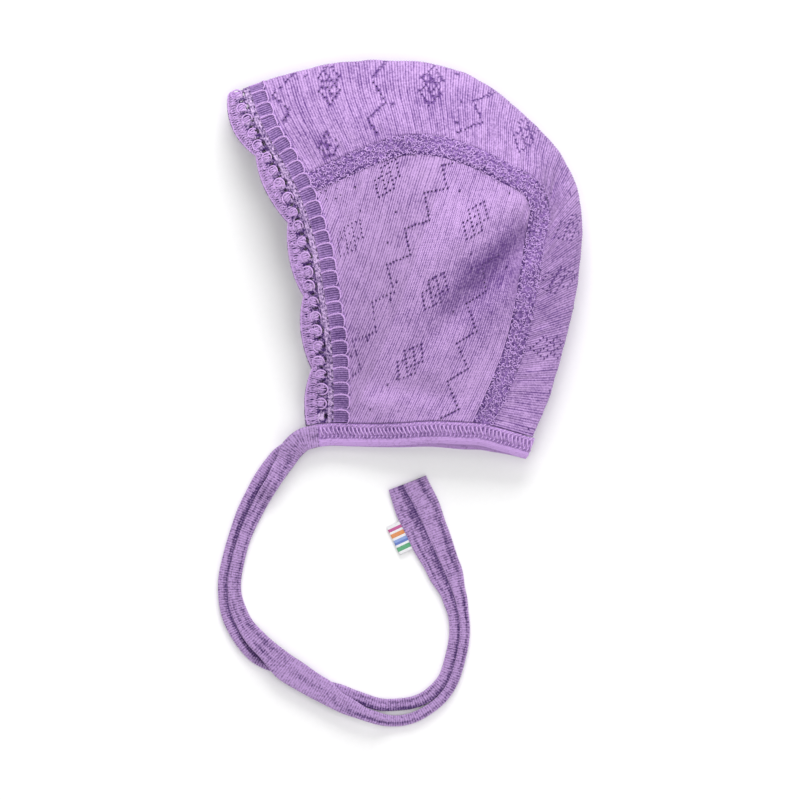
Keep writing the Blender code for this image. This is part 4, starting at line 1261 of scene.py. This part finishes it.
def ladder_piece():
    """Band with cross ribs in cells, and a plied cord that arches round each cell."""
    across = np.linspace(0, 1, LADDER_COLUMNS)
    laid = over_the_fold(beside_face(GAP - TRIM_OVER + (LADDER_WIDTH + 2 * TRIM_OVER) * across))
    length = row_lengths(laid)[-1]
    rows = LADDER_SAMPLES * round(length / LADDER_RIB) + 1
    grid = even_rows(laid, rows)
    s = np.linspace(0, length, rows)[:, None]
    valley = (np.arange(rows) % LADDER_SAMPLES == 0)[:, None]
    rim = np.minimum(1, np.minimum(across, 1 - across)[None] * LADDER_RIM)
    outer = -LADDER_SUNK * rim - LADDER_RELIEF * valley * rim
    cells = round(length / LADDER_CELL)
    in_cell = (s / length * cells) % 1
    # Painted shade in each cell's corner and open middle, and between the cross ribs
    corner, corner_length, corner_width = LADDER_CORNER_SHADE
    cell_corner_shade = bell(in_cell - corner, corner_length) * bell(across[None] - corner, corner_width)
    bare_tone, bare_half, other_tone = LADDER_OPEN_SHADE
    open_middle_shade = bell(in_cell - 0.5, bare_half, 4) * bare_tone + other_tone
    tone = np.clip(valley * LADDER_GROOVE_SHADE * rim + cell_corner_shade + open_middle_shade, 0, 1)
    stitch = np.stack([across[None] * LADDER_WALES + 0 * s, s / LADDER_RIB + 0 * across, tone], axis=2)
    band = cloth("ladder_band_knit", grid, outer, -LADDER_THICK, yarn_called("ladder knit"), stitch=stitch)
    return band, ladder_cords(grid, length, cells)


def ladder_cords(grid, length, cells):
    """Two plies of cord twisted round each other along the arch of each cell."""
    rows = len(grid)
    t = np.linspace(0, 1, LADDER_CORD_POINTS)
    cell = (LADDER_CELL, LADDER_WIDTH)
    arch = smooth_curve(np.array(ARCH) * cell, LADDER_CORD_POINTS) / cell
    chance = np.random.default_rng(29)
    paths = []
    for k in range(cells):
        wobble, bulge = chance.uniform(-ARCH_JITTER, ARCH_JITTER, 2)
        arch_s = arch[:, 0] + bulge * np.sin(math.pi * t)
        arch_t = np.clip(arch[:, 1] + bulge * np.sin(2 * math.pi * t), 0, 1)
        for ply in (0, 1):
            turn = 2 * math.pi * t * LADDER_CELL * ARCH_LENGTH / CORD_TWIST + math.pi * ply
            rows_there = (k + arch_s + wobble) / cells * (rows - 1)
            rows_there = rows_there + np.cos(turn) * CORD_SPREAD / length * (rows - 1)
            places, up, _ = place_on(grid, rows_there, arch_t * (LADDER_COLUMNS - 1))
            side = np.cos(turn) * CORD_SPREAD * np.interp(t, (0.4, 0.6), (0, 1))
            free = resting(places, up)
            lift = (CORD_LIFT + np.sin(turn) * CORD_SPREAD) * free - CORD_RADIUS * (1 - free)
            into = np.diff(place_on(grid, rows_there, 0 * arch_t)[0], axis=0, append=np.nan)
            into[-1] = into[-2]
            into = unit(np.cross(up, into))
            rough = chance.normal(0, CORD_ROUGH, (len(t), 3))
            paths.append(places + up * lift[:, None] + into * side[:, None] + rough * free[:, None])
    return spin("ladder_cords", paths, CORD_RADIUS, 6, yarn_called("trim thread"))


def lace_grid():
    """Lace from the upper chin to the fold and back: its rows, their place along it and from the fold."""
    start = 2 * GAP + LADDER_WIDTH
    base = start + np.array(LACE_COLUMNS) * LACE_WIDTH
    rim = over_the_fold(beside_face(base[-1:]))[:, -1, :3]
    lengths = arc_lengths(rim)
    half = (len(rim) + 1) // 2
    away = lengths[half - 1] - lengths
    bump = SCALLOP_DEPTH * np.abs(np.sin(math.pi * (away - FIRST_NOTCH) / SCALLOP_PITCH)) ** SCALLOP_ROUND
    laid = []
    for depth, side in ((bump[:half], 1), (bump[half - 1 :][::-1], -1)):
        share = np.maximum(0, (np.array(LACE_COLUMNS) - NET_FROM) / (1 - NET_FROM))
        laid.append(lay(beside_face(base + depth[:, None] * share), side))
    grid = np.concatenate([laid[0], laid[1][::-1][1:]])
    rows = round(lengths[-1] / LACE_STEP)
    wanted = np.linspace(0, lengths[-1], rows)
    return rows_at(grid, lengths, wanted), wanted, np.interp(wanted, lengths, away)


def oval(x, half_length, y, half_width):
    """Below 1 inside an oval of these half sizes."""
    return (x / half_length) ** 2 + (y / half_width) ** 2


def lace_net(grid, s, away):
    """The lace itself: a plain tape, holes and gaps cut through it, beads under the rosettes, and a net."""
    across = np.array(LACE_COLUMNS)
    phase = ((away - FIRST_NOTCH) / LACE_PITCH) % 1
    middle_s = (phase[:-1] + phase[1:]) / 2
    middle_s = np.where(np.abs(np.diff(phase)) > 0.5, 0.0, middle_s)[:, None]
    middle_t = ((across[:-1] + across[1:]) / 2)[None] * LACE_WIDTH
    from_hole = middle_t - (LACE_HOLE_INSET + LACE_HOLE_WIDTH / 2)
    hole = oval((middle_s - 0.5) * LACE_PITCH, LACE_HOLE_LENGTH * HOLE_SPAN, from_hole, LACE_HOLE_WIDTH * 0.5)
    from_gap = np.minimum(middle_s, 1 - middle_s) * LACE_PITCH
    gap = oval(from_gap, GAP_HALF[0], middle_t - ROSETTE_FROM - GAP_BEYOND, GAP_HALF[1])
    from_pin = ((middle_s * 2) % 1 - 0.5) * LACE_PITCH / 2
    pins = oval(from_pin, PIN_HOLE, middle_t - PIN_INSET, PIN_HOLE)
    keep = (hole > 1) & (gap > 1) & (pins > 1)
    keep[:2] = keep[-2:] = True
    s, t = s[:, None], across[None] * LACE_WIDTH
    tape = smoothstep((LACE_HOLE_INSET + TAPE_BEYOND - t) / TAPE_FADE)
    in_net = smoothstep((t - NET_FROM * LACE_WIDTH) / NET_FADE)
    mesh_s, mesh_t = s / NET_CELL, t / NET_CELL
    knots = np.cos(2 * math.pi * (mesh_s + mesh_t)) * np.cos(2 * math.pi * (mesh_s - mesh_t))
    from_bead = np.hypot((phase[:, None] - 0.5) * LACE_PITCH, t - ROSETTE_MIDDLE)
    bead = bell(from_bead, BEAD_RADIUS, 4)
    outer = -LACE_SUNK * (1 - tape) * (1 - NET_RISE * in_net) + NET_RELIEF * knots * in_net + BEAD_RISE * bead
    # Painted shade on the ground, round each rosette and in the net's pits, with random dark specks
    specks = np.random.default_rng(23).uniform(0, 1, from_bead.shape) ** 2
    rosette_outline_shade = bell(from_bead - ROSETTE_OUTLINE, ROSETTE_EDGE)
    tone = LACE_TONE_AND_SHADE["ground"] * (1 - tape) * (1 - in_net) * (1 - bead) + LACE_TONE_AND_SHADE["tape"] * tape
    tone += in_net * (LACE_TONE_AND_SHADE["net"] + LACE_TONE_AND_SHADE["mesh"] * (1 - knots) / 2)
    tone += (LACE_TONE_AND_SHADE["rosette_outline_shade"] * rosette_outline_shade + LACE_TONE_AND_SHADE["specks"]) * specks * (1 - tape)
    stitch = np.stack([s / LACE_LOOP + 0 * t, t / LACE_LOOP + 0 * s, np.clip(tone, 0, 1)], axis=2)
    yarn = yarn_called("lace cotton")
    return cloth("scallop_lace_net", grid, outer, -LACE_THICK, yarn, keep=keep, stitch=stitch)


def on_lace(grid, s, distance, out):
    """Places on the lace at these distances along its rim and out of the ladder band."""
    r = np.interp(distance, s, np.arange(len(grid)))
    c = np.interp(out, np.array(LACE_COLUMNS) * LACE_WIDTH, np.arange(grid.shape[1]))
    return place_on(grid, r, c)


def rosettes(grid, s, away, thread):
    """Rings of thread in a row, bars across each, and bobbles that fill the ring and the notch beside it."""
    first = ((away[0] - FIRST_NOTCH) % LACE_PITCH) + LACE_PITCH / 2
    middles = np.arange(first, s[-1] - LACE_PITCH / 2, LACE_PITCH)
    chance = np.random.default_rng(11)
    shift = chance.uniform(-ROSETTE_SHIFT, ROSETTE_SHIFT, (2, len(middles)))
    places, up, ahead = on_lace(grid, s, middles + shift[0], ROSETTE_MIDDLE + shift[1])
    free = resting(places, up)
    points = places + up * (ROSETTE_LIFT * free - THREAD_RADIUS * (1 - free))[:, None]
    ring = stitch_shape("ring", arc(ROSETTE_RADIUS, *RING_ARC, 16, RING_RISE), THREAD_RADIUS * 1.2, plump=0.3)
    rings = repeat("lace_rings", ring, points, {"up": up, "ahead": ahead}, thread, RING_CHANCE)
    spots = [on_lace(grid, s, middles + shift[0] + x, ROSETTE_MIDDLE + shift[1] + y) for x, y in BAR_PLACES]
    points = np.concatenate([p + up * (ROSETTE_LIFT * resting(p, up))[:, None] for p, up, _ in spots])
    facing = {
        "up": np.concatenate([up for _, up, _ in spots]),
        "ahead": np.concatenate([np.cross(up, ahead) for _, up, ahead in spots]),
    }
    path = bar(ROSETTE_RADIUS * BAR_HALF, BAR_RISE)
    shape = stitch_shape("bar", path, THREAD_RADIUS * 0.95, sides=6, plump=0.35)
    bars = repeat("lace_bars", shape, points, facing, thread, BAR_CHANCE)
    bob_s = np.repeat(middles, BOBBLES) + np.tile(np.linspace(-0.5, 0.5, BOBBLES), len(middles)) * LACE_PITCH
    along_shift, out_shift = (chance.uniform(*limits, len(bob_s)) for limits in BOBBLE_SHIFTS)
    bob_t = ROSETTE_MIDDLE + ROSETTE_RADIUS * BOBBLE_BEYOND + out_shift
    places, up, ahead = on_lace(grid, s, bob_s + along_shift, bob_t)
    points = places + up * (BOBBLE_LIFT * resting(places, up))[:, None]
    knot = stitch_shape("knot", arc(BOBBLE_RADIUS, *BOBBLE_ARC, 8, RING_RISE), THREAD_RADIUS * 0.8, plump=0.3)
    facing = {"up": up, "ahead": ahead}
    return rings, bars, repeat("lace_bobbles", knot, points, facing, thread, BOBBLE_CHANCE)


def net_threads(grid, s, thread):
    """Threads of the net, leaning both ways between the rosettes and the rim."""
    run = np.linspace(0, 1, 5)
    out = LACE_WIDTH * (NET_FROM + (NET_REACH - NET_FROM) * run)
    paths = []
    for sign in (1, -1):
        for begin in np.arange(NET_CELL, s[-1] - 2 * NET_CELL, NET_CELL):
            places, up, _ = on_lace(grid, s, begin + sign * NET_CELL * NET_SLANT * (run - 0.5), out)
            lift = NET_LIFT * resting(places, up) * np.sin(math.pi * (0.15 + 0.7 * run))
            paths.append(places + up * lift[:, None])
    return spin("lace_net_threads", paths, NET_THREAD, 4, thread)


def rim_cord(grid, s, thread):
    run = np.linspace(RIM_END, s[-1] - RIM_END, int(s[-1] / RIM_STEP))
    places, up, _ = on_lace(grid, s, run, LACE_WIDTH - RIM_INSET + 0 * run)
    wave = RIM_WAVE[0] * np.sin(run * 2 * math.pi / RIM_WAVE[1])
    path = places - up * (LACE_THICK * RIM_SUNK) + up * wave[:, None]
    return spin("lace_rim_cord", [path], RIM_RADIUS, 7, thread)


def lace_pieces():
    """Knitted lace with its rosettes, its net and its corded scalloped rim."""
    grid, s, away = lace_grid()
    thread = yarn_called("trim thread")
    ground = lace_net(grid, s, away)
    return ground, *rosettes(grid, s, away, thread), net_threads(grid, s, thread), rim_cord(grid, s, thread)


# Neck binding and ties


def binding_grid(rows, shares):
    """The binding laid round the fold. Without a number of rows they are as close as its stitches need."""
    length = arc_lengths(NECK_CURVE)[-1]
    f = np.linspace(BINDING_START / length, 1, CURVE_SAMPLES)
    curve, outwards = along(NECK_CURVE, f), along(NECK_OUTWARDS, f)
    distances = GAP + BINDING_WIDTH * np.asarray(shares)
    plan = curve[:, None] + outwards[:, None] * distances[None, :, None]
    laid = over_the_fold(plan)
    return even_rows(laid, rows or round(row_lengths(laid)[-1] / BINDING_STEP))


def binding_jersey(grid):
    """Jersey folded over the neck edge, drawn in where its stitches hold it."""
    t = np.array(BINDING_COLUMNS)
    s = np.arange(len(grid))[:, None] * BINDING_STEP
    body = np.interp(t, *zip(*BINDING_BODY))
    slant = 2 * math.pi * (s / STITCH_PITCH + STITCH_SLANT * t)
    depth, middle, half_width = BINDING_PULL
    pull = bell(t - middle, half_width, 4)[None] * np.cos(slant)
    puff = BINDING_PUFF * ripple(grid[..., :2] * 1.3)
    thick = BINDING_THICK * (body[None] + depth * pull + puff * np.sin(math.pi * t) ** 0.5)
    raised = BINDING_RAISE - (BINDING_THICK - thick) / 2
    sunk = BINDING_RAISE - (BINDING_THICK + BINDING_THICK * body) / 2
    # Painted shade under the stitches, in the gaps between them and along the creases
    strokes = 0.5 - 0.5 * np.cos(slant)
    ground, dark = STITCH_SHADE_TONES
    groove = bell(t - STITCH_SHADE_BAND[0], STITCH_SHADE_BAND[1], 4)[None] * (ground + dark * strokes)
    for tone, place, width in BINDING_CREASE_SHADE:
        groove = groove + tone * bell(t - place, width)[None]
    across = t * BINDING_WIDTH / BINDING_LOOP[1]
    stitch = np.stack([s / BINDING_LOOP[0] + 0 * t, across + 0 * s, np.clip(groove, 0, 1)], axis=2)
    return cloth("neck_binding_jersey", grid, raised, sunk, yarn_called("cotton jersey"), stitch=stitch)


def binding_pieces():
    """The folded jersey and the rows of stitches over it."""
    grid = binding_grid(0, BINDING_COLUMNS)
    pieces = [binding_jersey(grid)]
    count = int((len(grid) - 1) * BINDING_STEP / STITCH_PITCH) - 1
    r = (np.arange(count) + 1.0) * STITCH_PITCH / BINDING_STEP
    chance = np.random.default_rng(21)
    for label, share, half, lean, radius, lift in STITCH_ROWS:
        across = share + chance.uniform(-STITCH_SHIFT, STITCH_SHIFT, count)
        c = np.interp(across, BINDING_COLUMNS, np.arange(len(BINDING_COLUMNS)))
        between = (0.5 if lean > 0 else 0.0) * STITCH_PITCH / BINDING_STEP
        places, up, ahead = place_on(grid, r + between, c)
        free = resting(places, up)
        points = places + up * ((BINDING_RAISE + lift) * free - radius * (1 - free))[:, None]
        facing = {"up": up, "ahead": ahead * math.sin(lean) + np.cross(up, ahead) * math.cos(lean)}
        shape = stitch_shape("thread", bar(half, STITCH_RISE), radius, sides=6, plump=0.2)
        thread = yarn_called("trim thread")
        pieces.append(repeat("neck_stitches_" + label, shape, points, facing, thread, THREAD_CHANCE))
    return pieces


def eased(shares, table, column):
    """A column of a table of sections between its rows, level at each row."""
    places = np.array([row["along"] for row in table])
    values = np.array([row[column] for row in table])
    k = np.clip(np.searchsorted(places, shares, side="right") - 1, 0, len(places) - 2)
    t = smoothstep((shares - places[k]) / (places[k + 1] - places[k]))
    return values[k] * (1 - t) + values[k + 1] * t


def tie_lines(binding):
    """Centre line, width and thickness along each tie, from where the binding parts."""
    end, before = binding[:2, :, :3].mean(axis=1)
    ahead = unit(end - before)
    start = end[:2] + ahead[:2] * TIE_PARTING
    steps = np.array(TIE_ROUTE) * (TIE_LOOP_WIDTH, TIE_LOOP_DROP)
    route = smooth_curve(start + steps)
    shares = np.linspace(0, 1, len(route))
    upper_width = TIE_WIDTH * eased(shares, TIE_SECTIONS, "upper")
    lower_width = TIE_WIDTH * eased(shares, TIE_SECTIONS, "lower")
    apart = GAP + TIE_WIDTH * eased(shares, TIE_SECTIONS, "apart")
    side = eased(shares, TIE_SECTIONS, "side")
    upper_thick, lower_thick = (
        TIE_THICK * (1 + TIE_CURL * (1 - width / TIE_WIDTH)) for width in (upper_width, lower_width)
    )
    hung = end[2] + BINDING_RAISE - BINDING_THICK
    fall = hung * smoothstep(1 - shares / TIE_LETS_DOWN)
    lifted = np.maximum(fall, eased(shares, TIE_SECTIONS, "lift") * (lower_thick + GAP))
    inwards = left_normals(route)
    upper = route + inwards * (side * (lower_width + apart) / 2)[:, None]
    lower = route - inwards * (side * (upper_width + apart) / 2)[:, None]
    return (
        (np.column_stack([upper, lifted + upper_thick / 2]), upper_width, upper_thick),
        (np.column_stack([lower, lower_thick / 2]), lower_width, lower_thick),
    )


def tie_frames(line, width, thick, binding_end):
    """Centres, side and upward directions, widths and thicknesses at the tie's stations."""
    both = along(np.column_stack([line, width, thick]), np.linspace(0, 1, TIE_STATIONS))
    centres = both[:, :3]
    ahead = unit(np.gradient(centres, axis=0))
    left = unit(np.column_stack([-ahead[:, 1], ahead[:, 0], np.zeros(len(ahead))]))
    across = unit(binding_end[-1, :3] - binding_end[0, :3])
    fade = smoothstep(1 - np.arange(len(left)) / TIE_TURN_STATIONS)[:, None]
    left = unit(left * (1 - fade) + across * fade)
    centres[0] -= ahead[0] * TIE_TUCK
    return centres, left, np.cross(ahead, left), both[:, 3] + TIE_OVER, both[:, 4]


def tie_piece(frames, name, crease, seed, shaded):
    """Strap with rounded edges, fine ribs along it and a crease where its cloth is folded.

    shaded is the place across, width and depth of its strip of painted shade, counted towards its neighbour's
    side.
    """
    centres, left, up, width, thick = frames
    lengths = arc_lengths(centres)
    angles = np.linspace(0, 2 * math.pi, TIE_SIDES, endpoint=False)
    rounded = zip((np.cos(angles), np.sin(angles)), TIE_ROUND)
    x, y = (np.sign(part) * np.abs(part) ** power for part, power in rounded)
    (wide, long), (less_wide, shorter) = TIE_WANDER
    wander = wide * np.sin(lengths / long + seed) + less_wide * np.sin(lengths / shorter + 2 * seed)
    fold = bell(x[None] - (crease + wander)[:, None], TIE_FOLD) * np.abs(y)[None]
    ribs = np.cos(x[None] * width[:, None] / TIE_RIB * math.pi)
    strokes = np.cos(2 * math.pi * (lengths[:, None] / TIE_LOOP + TIE_ZIGZAG * np.abs(ribs)))
    wave = np.sin(lengths / TIE_WAVE_LENGTH + seed)[:, None] * np.sin(TIE_WAVE_TURN * x)[None]
    relief = TIE_RELIEF * (1 - ribs) / 2 + TIE_STROKE * (1 - strokes) / 2 + TIE_WAVE * (1 + wave)
    half_thick = thick[:, None] / 2 * (1 - TIE_CREASE * fold - relief) * y[None]
    half_wide = x[None] * width[:, None] / 2
    points = centres[:, None] + left[:, None] * half_wide[..., None] + up[:, None] * half_thick[..., None]
    points[..., 2] = np.maximum(points[..., 2], FLOOR_CLEAR)
    # Painted shade in a strip beside the neighbour, in the crease and between the ribs
    side = eased(np.linspace(0, 1, len(centres)), TIE_SECTIONS, "side")[:, None]
    strip = shaded[2] * bell(x[None] - shaded[0] * side, shaded[1])
    crease_shade, rib_groove_shade, loop_tone = TIE_TONES
    lines = rib_groove_shade * (1 - ribs) / 2 + loop_tone * (1 - strokes) / 2
    groove = np.clip(strip + fold * crease_shade + lines, 0, 1)
    rib, course = x[None] * width[:, None] / TIE_RIB, lengths[:, None] / TIE_LOOP + 0 * x
    stitch = np.stack([rib, course, groove], axis=2)
    return tube_object(name, points, yarn_called("jersey tape"), stitch)


def tab_material():
    """Woven ribbon: white cotton warp with blocks of coloured weft, satin to the touch."""
    material, tree, shader, where = new_material("woven ribbon")
    across, out, _ = stitch_values(tree)
    tone = add_node(tree, "ShaderNodeValToRGB", {"Fac": across})
    ramp = tone.color_ramp
    ramp.interpolation = "CONSTANT"
    for place, colour in TAB_BLOCKS:
        stop = ramp.elements.new(place) if place > 0 else ramp.elements[0]
        stop.color = srgb(colour)
    ramp.elements.remove(ramp.elements[-1])
    warp, weft = (
        sums(tree, "SINE", sums(tree, "MULTIPLY", share, 2 * math.pi * threads))
        for share, threads in zip((across, out), TAB_WEAVE)
    )
    weave = sums(tree, "MULTIPLY", warp, weft)
    worn = noise(tree, where, 1500.0, 3.0, 0.6)
    mixed = sums(tree, "MULTIPLY_ADD", weave, 0.06, sums(tree, "MULTIPLY", worn, 0.16), clamp=True)
    tree.links.new(blend(tree, mixed, tone.outputs[0], srgb("#F4F2F6")), shader.inputs["Base Color"])
    tree.links.new(bumped(tree, weave, 0.00008, 0.8), shader.inputs["Normal"])
    shader.inputs["Roughness"].default_value = 0.6
    shader.inputs["Sheen Weight"].default_value = 0.15
    return material


def tab_piece(frames):
    """Ribbon folded in two and let into the inner edge of the lower tie, its fold outwards."""
    centres, left, _, width, _ = frames
    lengths = arc_lengths(centres)
    wanted = lengths[-1] - TAB_FROM_END + TAB_LENGTH * np.linspace(-0.5, 0.5, TAB_ROWS)
    edge = centres + left * (width / 2 - TAB_LET_IN)[:, None]
    near_edge = np.stack([np.interp(wanted, lengths, edge[:, k]) for k in range(3)], axis=1)
    out = np.stack([np.interp(wanted, lengths, left[:, k]) for k in range(3)], axis=1).mean(axis=0)
    reach = TAB_REACH + TAB_LET_IN
    turns = np.linspace(0, math.pi, TAB_TURNS)
    # Profile from the lower seam end out to the fold and back along the top
    flat = np.linspace(0, 1, 8)[:-1] * (reach - TAB_THICK / 2)
    run = np.concatenate([flat, reach - TAB_THICK / 2 + np.sin(turns) * TAB_THICK / 2, flat[::-1]])
    level = np.concatenate([0 * flat, TAB_THICK / 2 * (1 - np.cos(turns)), TAB_THICK + 0 * flat])
    sag = TAB_SAG * np.sin(np.linspace(0, 2.5, TAB_ROWS))[:, None] * (run / reach)[None]
    points = near_edge[:, None] + out * run[None, :, None]
    points[..., 2] = TAB_RISE + level[None] - sag
    share = np.linspace(0, 1, TAB_ROWS)[:, None] + 0 * run
    stitch = np.stack([share, run[None] / reach + 0 * share, 0 * share], axis=2)
    return tube_object("stripe_tab_ribbon", points, tab_material(), stitch)


# Stage


def stage_material():
    """Matt paper, a little uneven."""
    material, tree, shader, where = new_material("matt paper")
    tooth = noise(tree, where, 400.0, 3.0)
    tree.links.new(blend(tree, tooth, srgb("#FBFBFB"), srgb("#F7F7F7")), shader.inputs["Base Color"])
    shader.inputs["Roughness"].default_value = 0.9
    shader.inputs["Specular IOR Level"].default_value = 0.1
    return material


def add_area(name, place, target, size, power):
    light = bpy.data.lights.new(name, "AREA")
    light.shape = "RECTANGLE"
    light.size, light.size_y = size
    light.energy = power
    obj = add_object(name, light)
    obj.location = place
    obj.rotation_euler = (Vector(target) - Vector(place)).to_track_quat("-Z", "Y").to_euler()


def build_stage():
    mesh = bpy.data.meshes.new("floor")
    half = FLOOR_SIZE / 2
    corners = [(-half, -half), (half, -half), (half, half), (-half, half)]
    mesh.from_pydata([(x, y, -FLOOR_CLEAR) for x, y in corners], [], [(0, 1, 2, 3)])
    mesh.materials.append(stage_material())
    add_object("floor", mesh)
    world = bpy.data.worlds.new("studio")
    world.use_nodes = True
    shade = world.node_tree.nodes["Background"]
    shade.inputs["Color"].default_value = srgb(WORLD_COLOUR)
    shade.inputs["Strength"].default_value = WORLD_STRENGTH
    bpy.context.scene.world = world
    for name, place, size, power in LIGHTS:
        add_area(name, place, (*VIEW_CENTRE, 0.0), size, power)
    lens = bpy.data.cameras.new("camera")
    lens.sensor_width = SENSOR
    lens.lens = SENSOR * CAMERA_HEIGHT / VIEW_SPAN
    lens.clip_start, lens.clip_end = CLIP_START, 2 * CAMERA_HEIGHT
    camera = add_object("camera", lens)
    camera.location = (*VIEW_CENTRE, CAMERA_HEIGHT)
    bpy.context.scene.camera = camera
    bpy.context.scene.view_settings.view_transform = "Standard"


# Settings and operators


class BonnetColours(bpy.types.PropertyGroup):
    """Yarn colour on the crests and painted shade colours, as sRGB hex codes."""

    light: bpy.props.StringProperty(name="Light", description="Yarn on the ribs' crests", default="#D4AEE8")
    # Painted shade colour of the knit's grooves, holes and valley
    dark: bpy.props.StringProperty(name="Dark", description="Yarn down in the grooves", default="#68438C")
    # Painted shade colour of the trims' grooves, creases and gaps
    shade: bpy.props.StringProperty(name="Shade", description="Grooves of the trims", default="#45256A")


class BonnetKnit(bpy.types.PropertyGroup):
    """Density of the knit."""

    side_wales: bpy.props.IntProperty(
        name="Side ribs", description="Ribs of a cheek panel", default=SIDE_WALES, min=40
    )
    centre_wales: bpy.props.IntProperty(
        name="Centre ribs", description="Ribs of the strip over the crown", default=CENTRE_WALES, min=80
    )
    knot_pitch: bpy.props.FloatProperty(
        name="Knot pitch", description="Spacing of the seams' loops", default=KNOT_PITCH, min=0.0006,
        subtype="DISTANCE", unit="LENGTH",
    )


def yarn_called(name):
    """One of the cotton materials, made from the scene's colours when it is first asked for."""
    if name not in bpy.data.materials:
        colours = bpy.context.scene.bonnet_colours
        picked = {key: getattr(colours, YARNS[name][key], YARNS[name][key]) for key in ("light", "dark")}
        cotton(name, **{**YARNS[name], **picked})
    return bpy.data.materials[name]


def tree_for(name):
    """One of the two node trees, built when it is first asked for."""
    makers = {"Stitches on points": stitch_tree, "Cords along lines": cord_tree}
    return bpy.data.node_groups.get(name) or makers[name]()


class BONNET_OT_knit(bpy.types.Operator):
    """Knit the two cheek panels and the strip over the crown"""

    bl_idname = "bonnet.knit"
    bl_label = "Knit panels"

    def execute(self, context):
        count = context.scene.bonnet_knit
        upper = side_plan(SIDE_SAMPLES * count.side_wales + 1, int(LONGEST_RIB / SIDE_STEP))
        lower = side_plan(PLAIN_SAMPLES * count.side_wales + 1, int(LONGEST_RIB / LOWER_STEP))
        strip = centre_grid(PLAIN_SAMPLES * count.centre_wales + 1, int(LONGEST_CENTRE / CENTRE_STEP))
        side_holes, strip_holes = (SIDE_ZIGZAGS, SIDE_DIAMONDS), (CENTRE_ZIGZAGS, CENTRE_DIAMONDS)
        panels = (
            ("side_knit_upper", "side_panel_upper", lay(upper, 1), SIDE_SAMPLES, side_holes, 17, ()),
            ("side_knit_lower", "side_panel_lower", lay(lower, -1), PLAIN_SAMPLES, side_holes, 18, ()),
            ("centre_knit", "centre_panel", strip, PLAIN_SAMPLES, strip_holes, 19, CENTRE_LOOK),
        )
        for name, node, grid, samples, holes, seed, look in panels:
            cells = eyelets_on(grid, samples, *holes, seed)
            dress(knit(name, grid, samples, cells, *look), "pointelle_knit", node)
        return {"FINISHED"}


class BONNET_OT_seams(bpy.types.Operator):
    """Sew the two overlocked seams"""

    bl_idname = "bonnet.seams"
    bl_label = "Overlocked seams"

    def execute(self, context):
        pitch = context.scene.bonnet_knit.knot_pitch
        for half, node, spread in ((1, "seam_upper", 1.0), (-1, "seam_lower", LOWER_KNOTS)):
            for piece in seam_piece(half, node + "_thread", pitch * spread):
                dress(piece, "seam_thread", node)
        return {"FINISHED"}


class BONNET_OT_lace(bpy.types.Operator):
    """Make the ladder band and the scalloped lace beyond it"""

    bl_idname = "bonnet.lace"
    bl_label = "Ladder band and lace"

    def execute(self, context):
        for piece in ladder_piece():
            dress(piece, "ladder_trim", "ladder_band")
        for piece in lace_pieces():
            dress(piece, "lace", "scallop_lace")
        return {"FINISHED"}


class BONNET_OT_binding(bpy.types.Operator):
    """Bind the neck edge and lay out the two ties with their tab"""

    bl_idname = "bonnet.binding"
    bl_label = "Neck binding and ties"

    def execute(self, context):
        for piece in binding_pieces():
            dress(piece, "rib_binding", "neck_binding")
        ends = binding_grid(BINDING_ROWS, BINDING_ACROSS)
        upper_line, lower_line = tie_lines(ends)
        lower = tie_frames(*lower_line, ends[-1])
        dress(tie_piece(tie_frames(*upper_line, ends[0]), *UPPER_TAPE), "rib_binding", "tie_upper")
        dress(tie_piece(lower, *LOWER_TAPE), "rib_binding", "tie_lower")
        dress(tab_piece(lower), "woven_tab", "stripe_tab")
        return {"FINISHED"}


class BONNET_OT_stage(bpy.types.Operator):
    """Set the floor, the lights and the camera"""

    bl_idname = "bonnet.stage"
    bl_label = "Stage"

    def execute(self, context):
        build_stage()
        return {"FINISHED"}


class BONNET_PT_steps(bpy.types.Panel):
    """Lists the steps in their order"""

    bl_idname = "BONNET_PT_steps"
    bl_label = "Bonnet"
    bl_space_type = "VIEW_3D"
    bl_region_type = "UI"
    bl_category = "Bonnet"

    def draw(self, context):
        for group in (context.scene.bonnet_colours, context.scene.bonnet_knit):
            for key in group.__annotations__:
                self.layout.prop(group, key)
        for operator in STEPS:
            self.layout.operator(operator.bl_idname)


STEPS = (BONNET_OT_knit, BONNET_OT_seams, BONNET_OT_lace, BONNET_OT_binding, BONNET_OT_stage)
GROUPS = (BonnetColours, BonnetKnit)


def register():
    for group in (*GROUPS, *STEPS, BONNET_PT_steps):
        bpy.utils.register_class(group)
    bpy.types.Scene.bonnet_colours = bpy.props.PointerProperty(type=BonnetColours)
    bpy.types.Scene.bonnet_knit = bpy.props.PointerProperty(type=BonnetKnit)


def unregister():
    del bpy.types.Scene.bonnet_knit
    del bpy.types.Scene.bonnet_colours
    for group in reversed((*GROUPS, *STEPS, BONNET_PT_steps)):
        bpy.utils.unregister_class(group)


def main():
    register()
    bpy.ops.bonnet.knit()
    bpy.ops.bonnet.seams()
    bpy.ops.bonnet.lace()
    bpy.ops.bonnet.binding()
    bpy.ops.bonnet.stage()


if __name__ == "__main__":
    main()
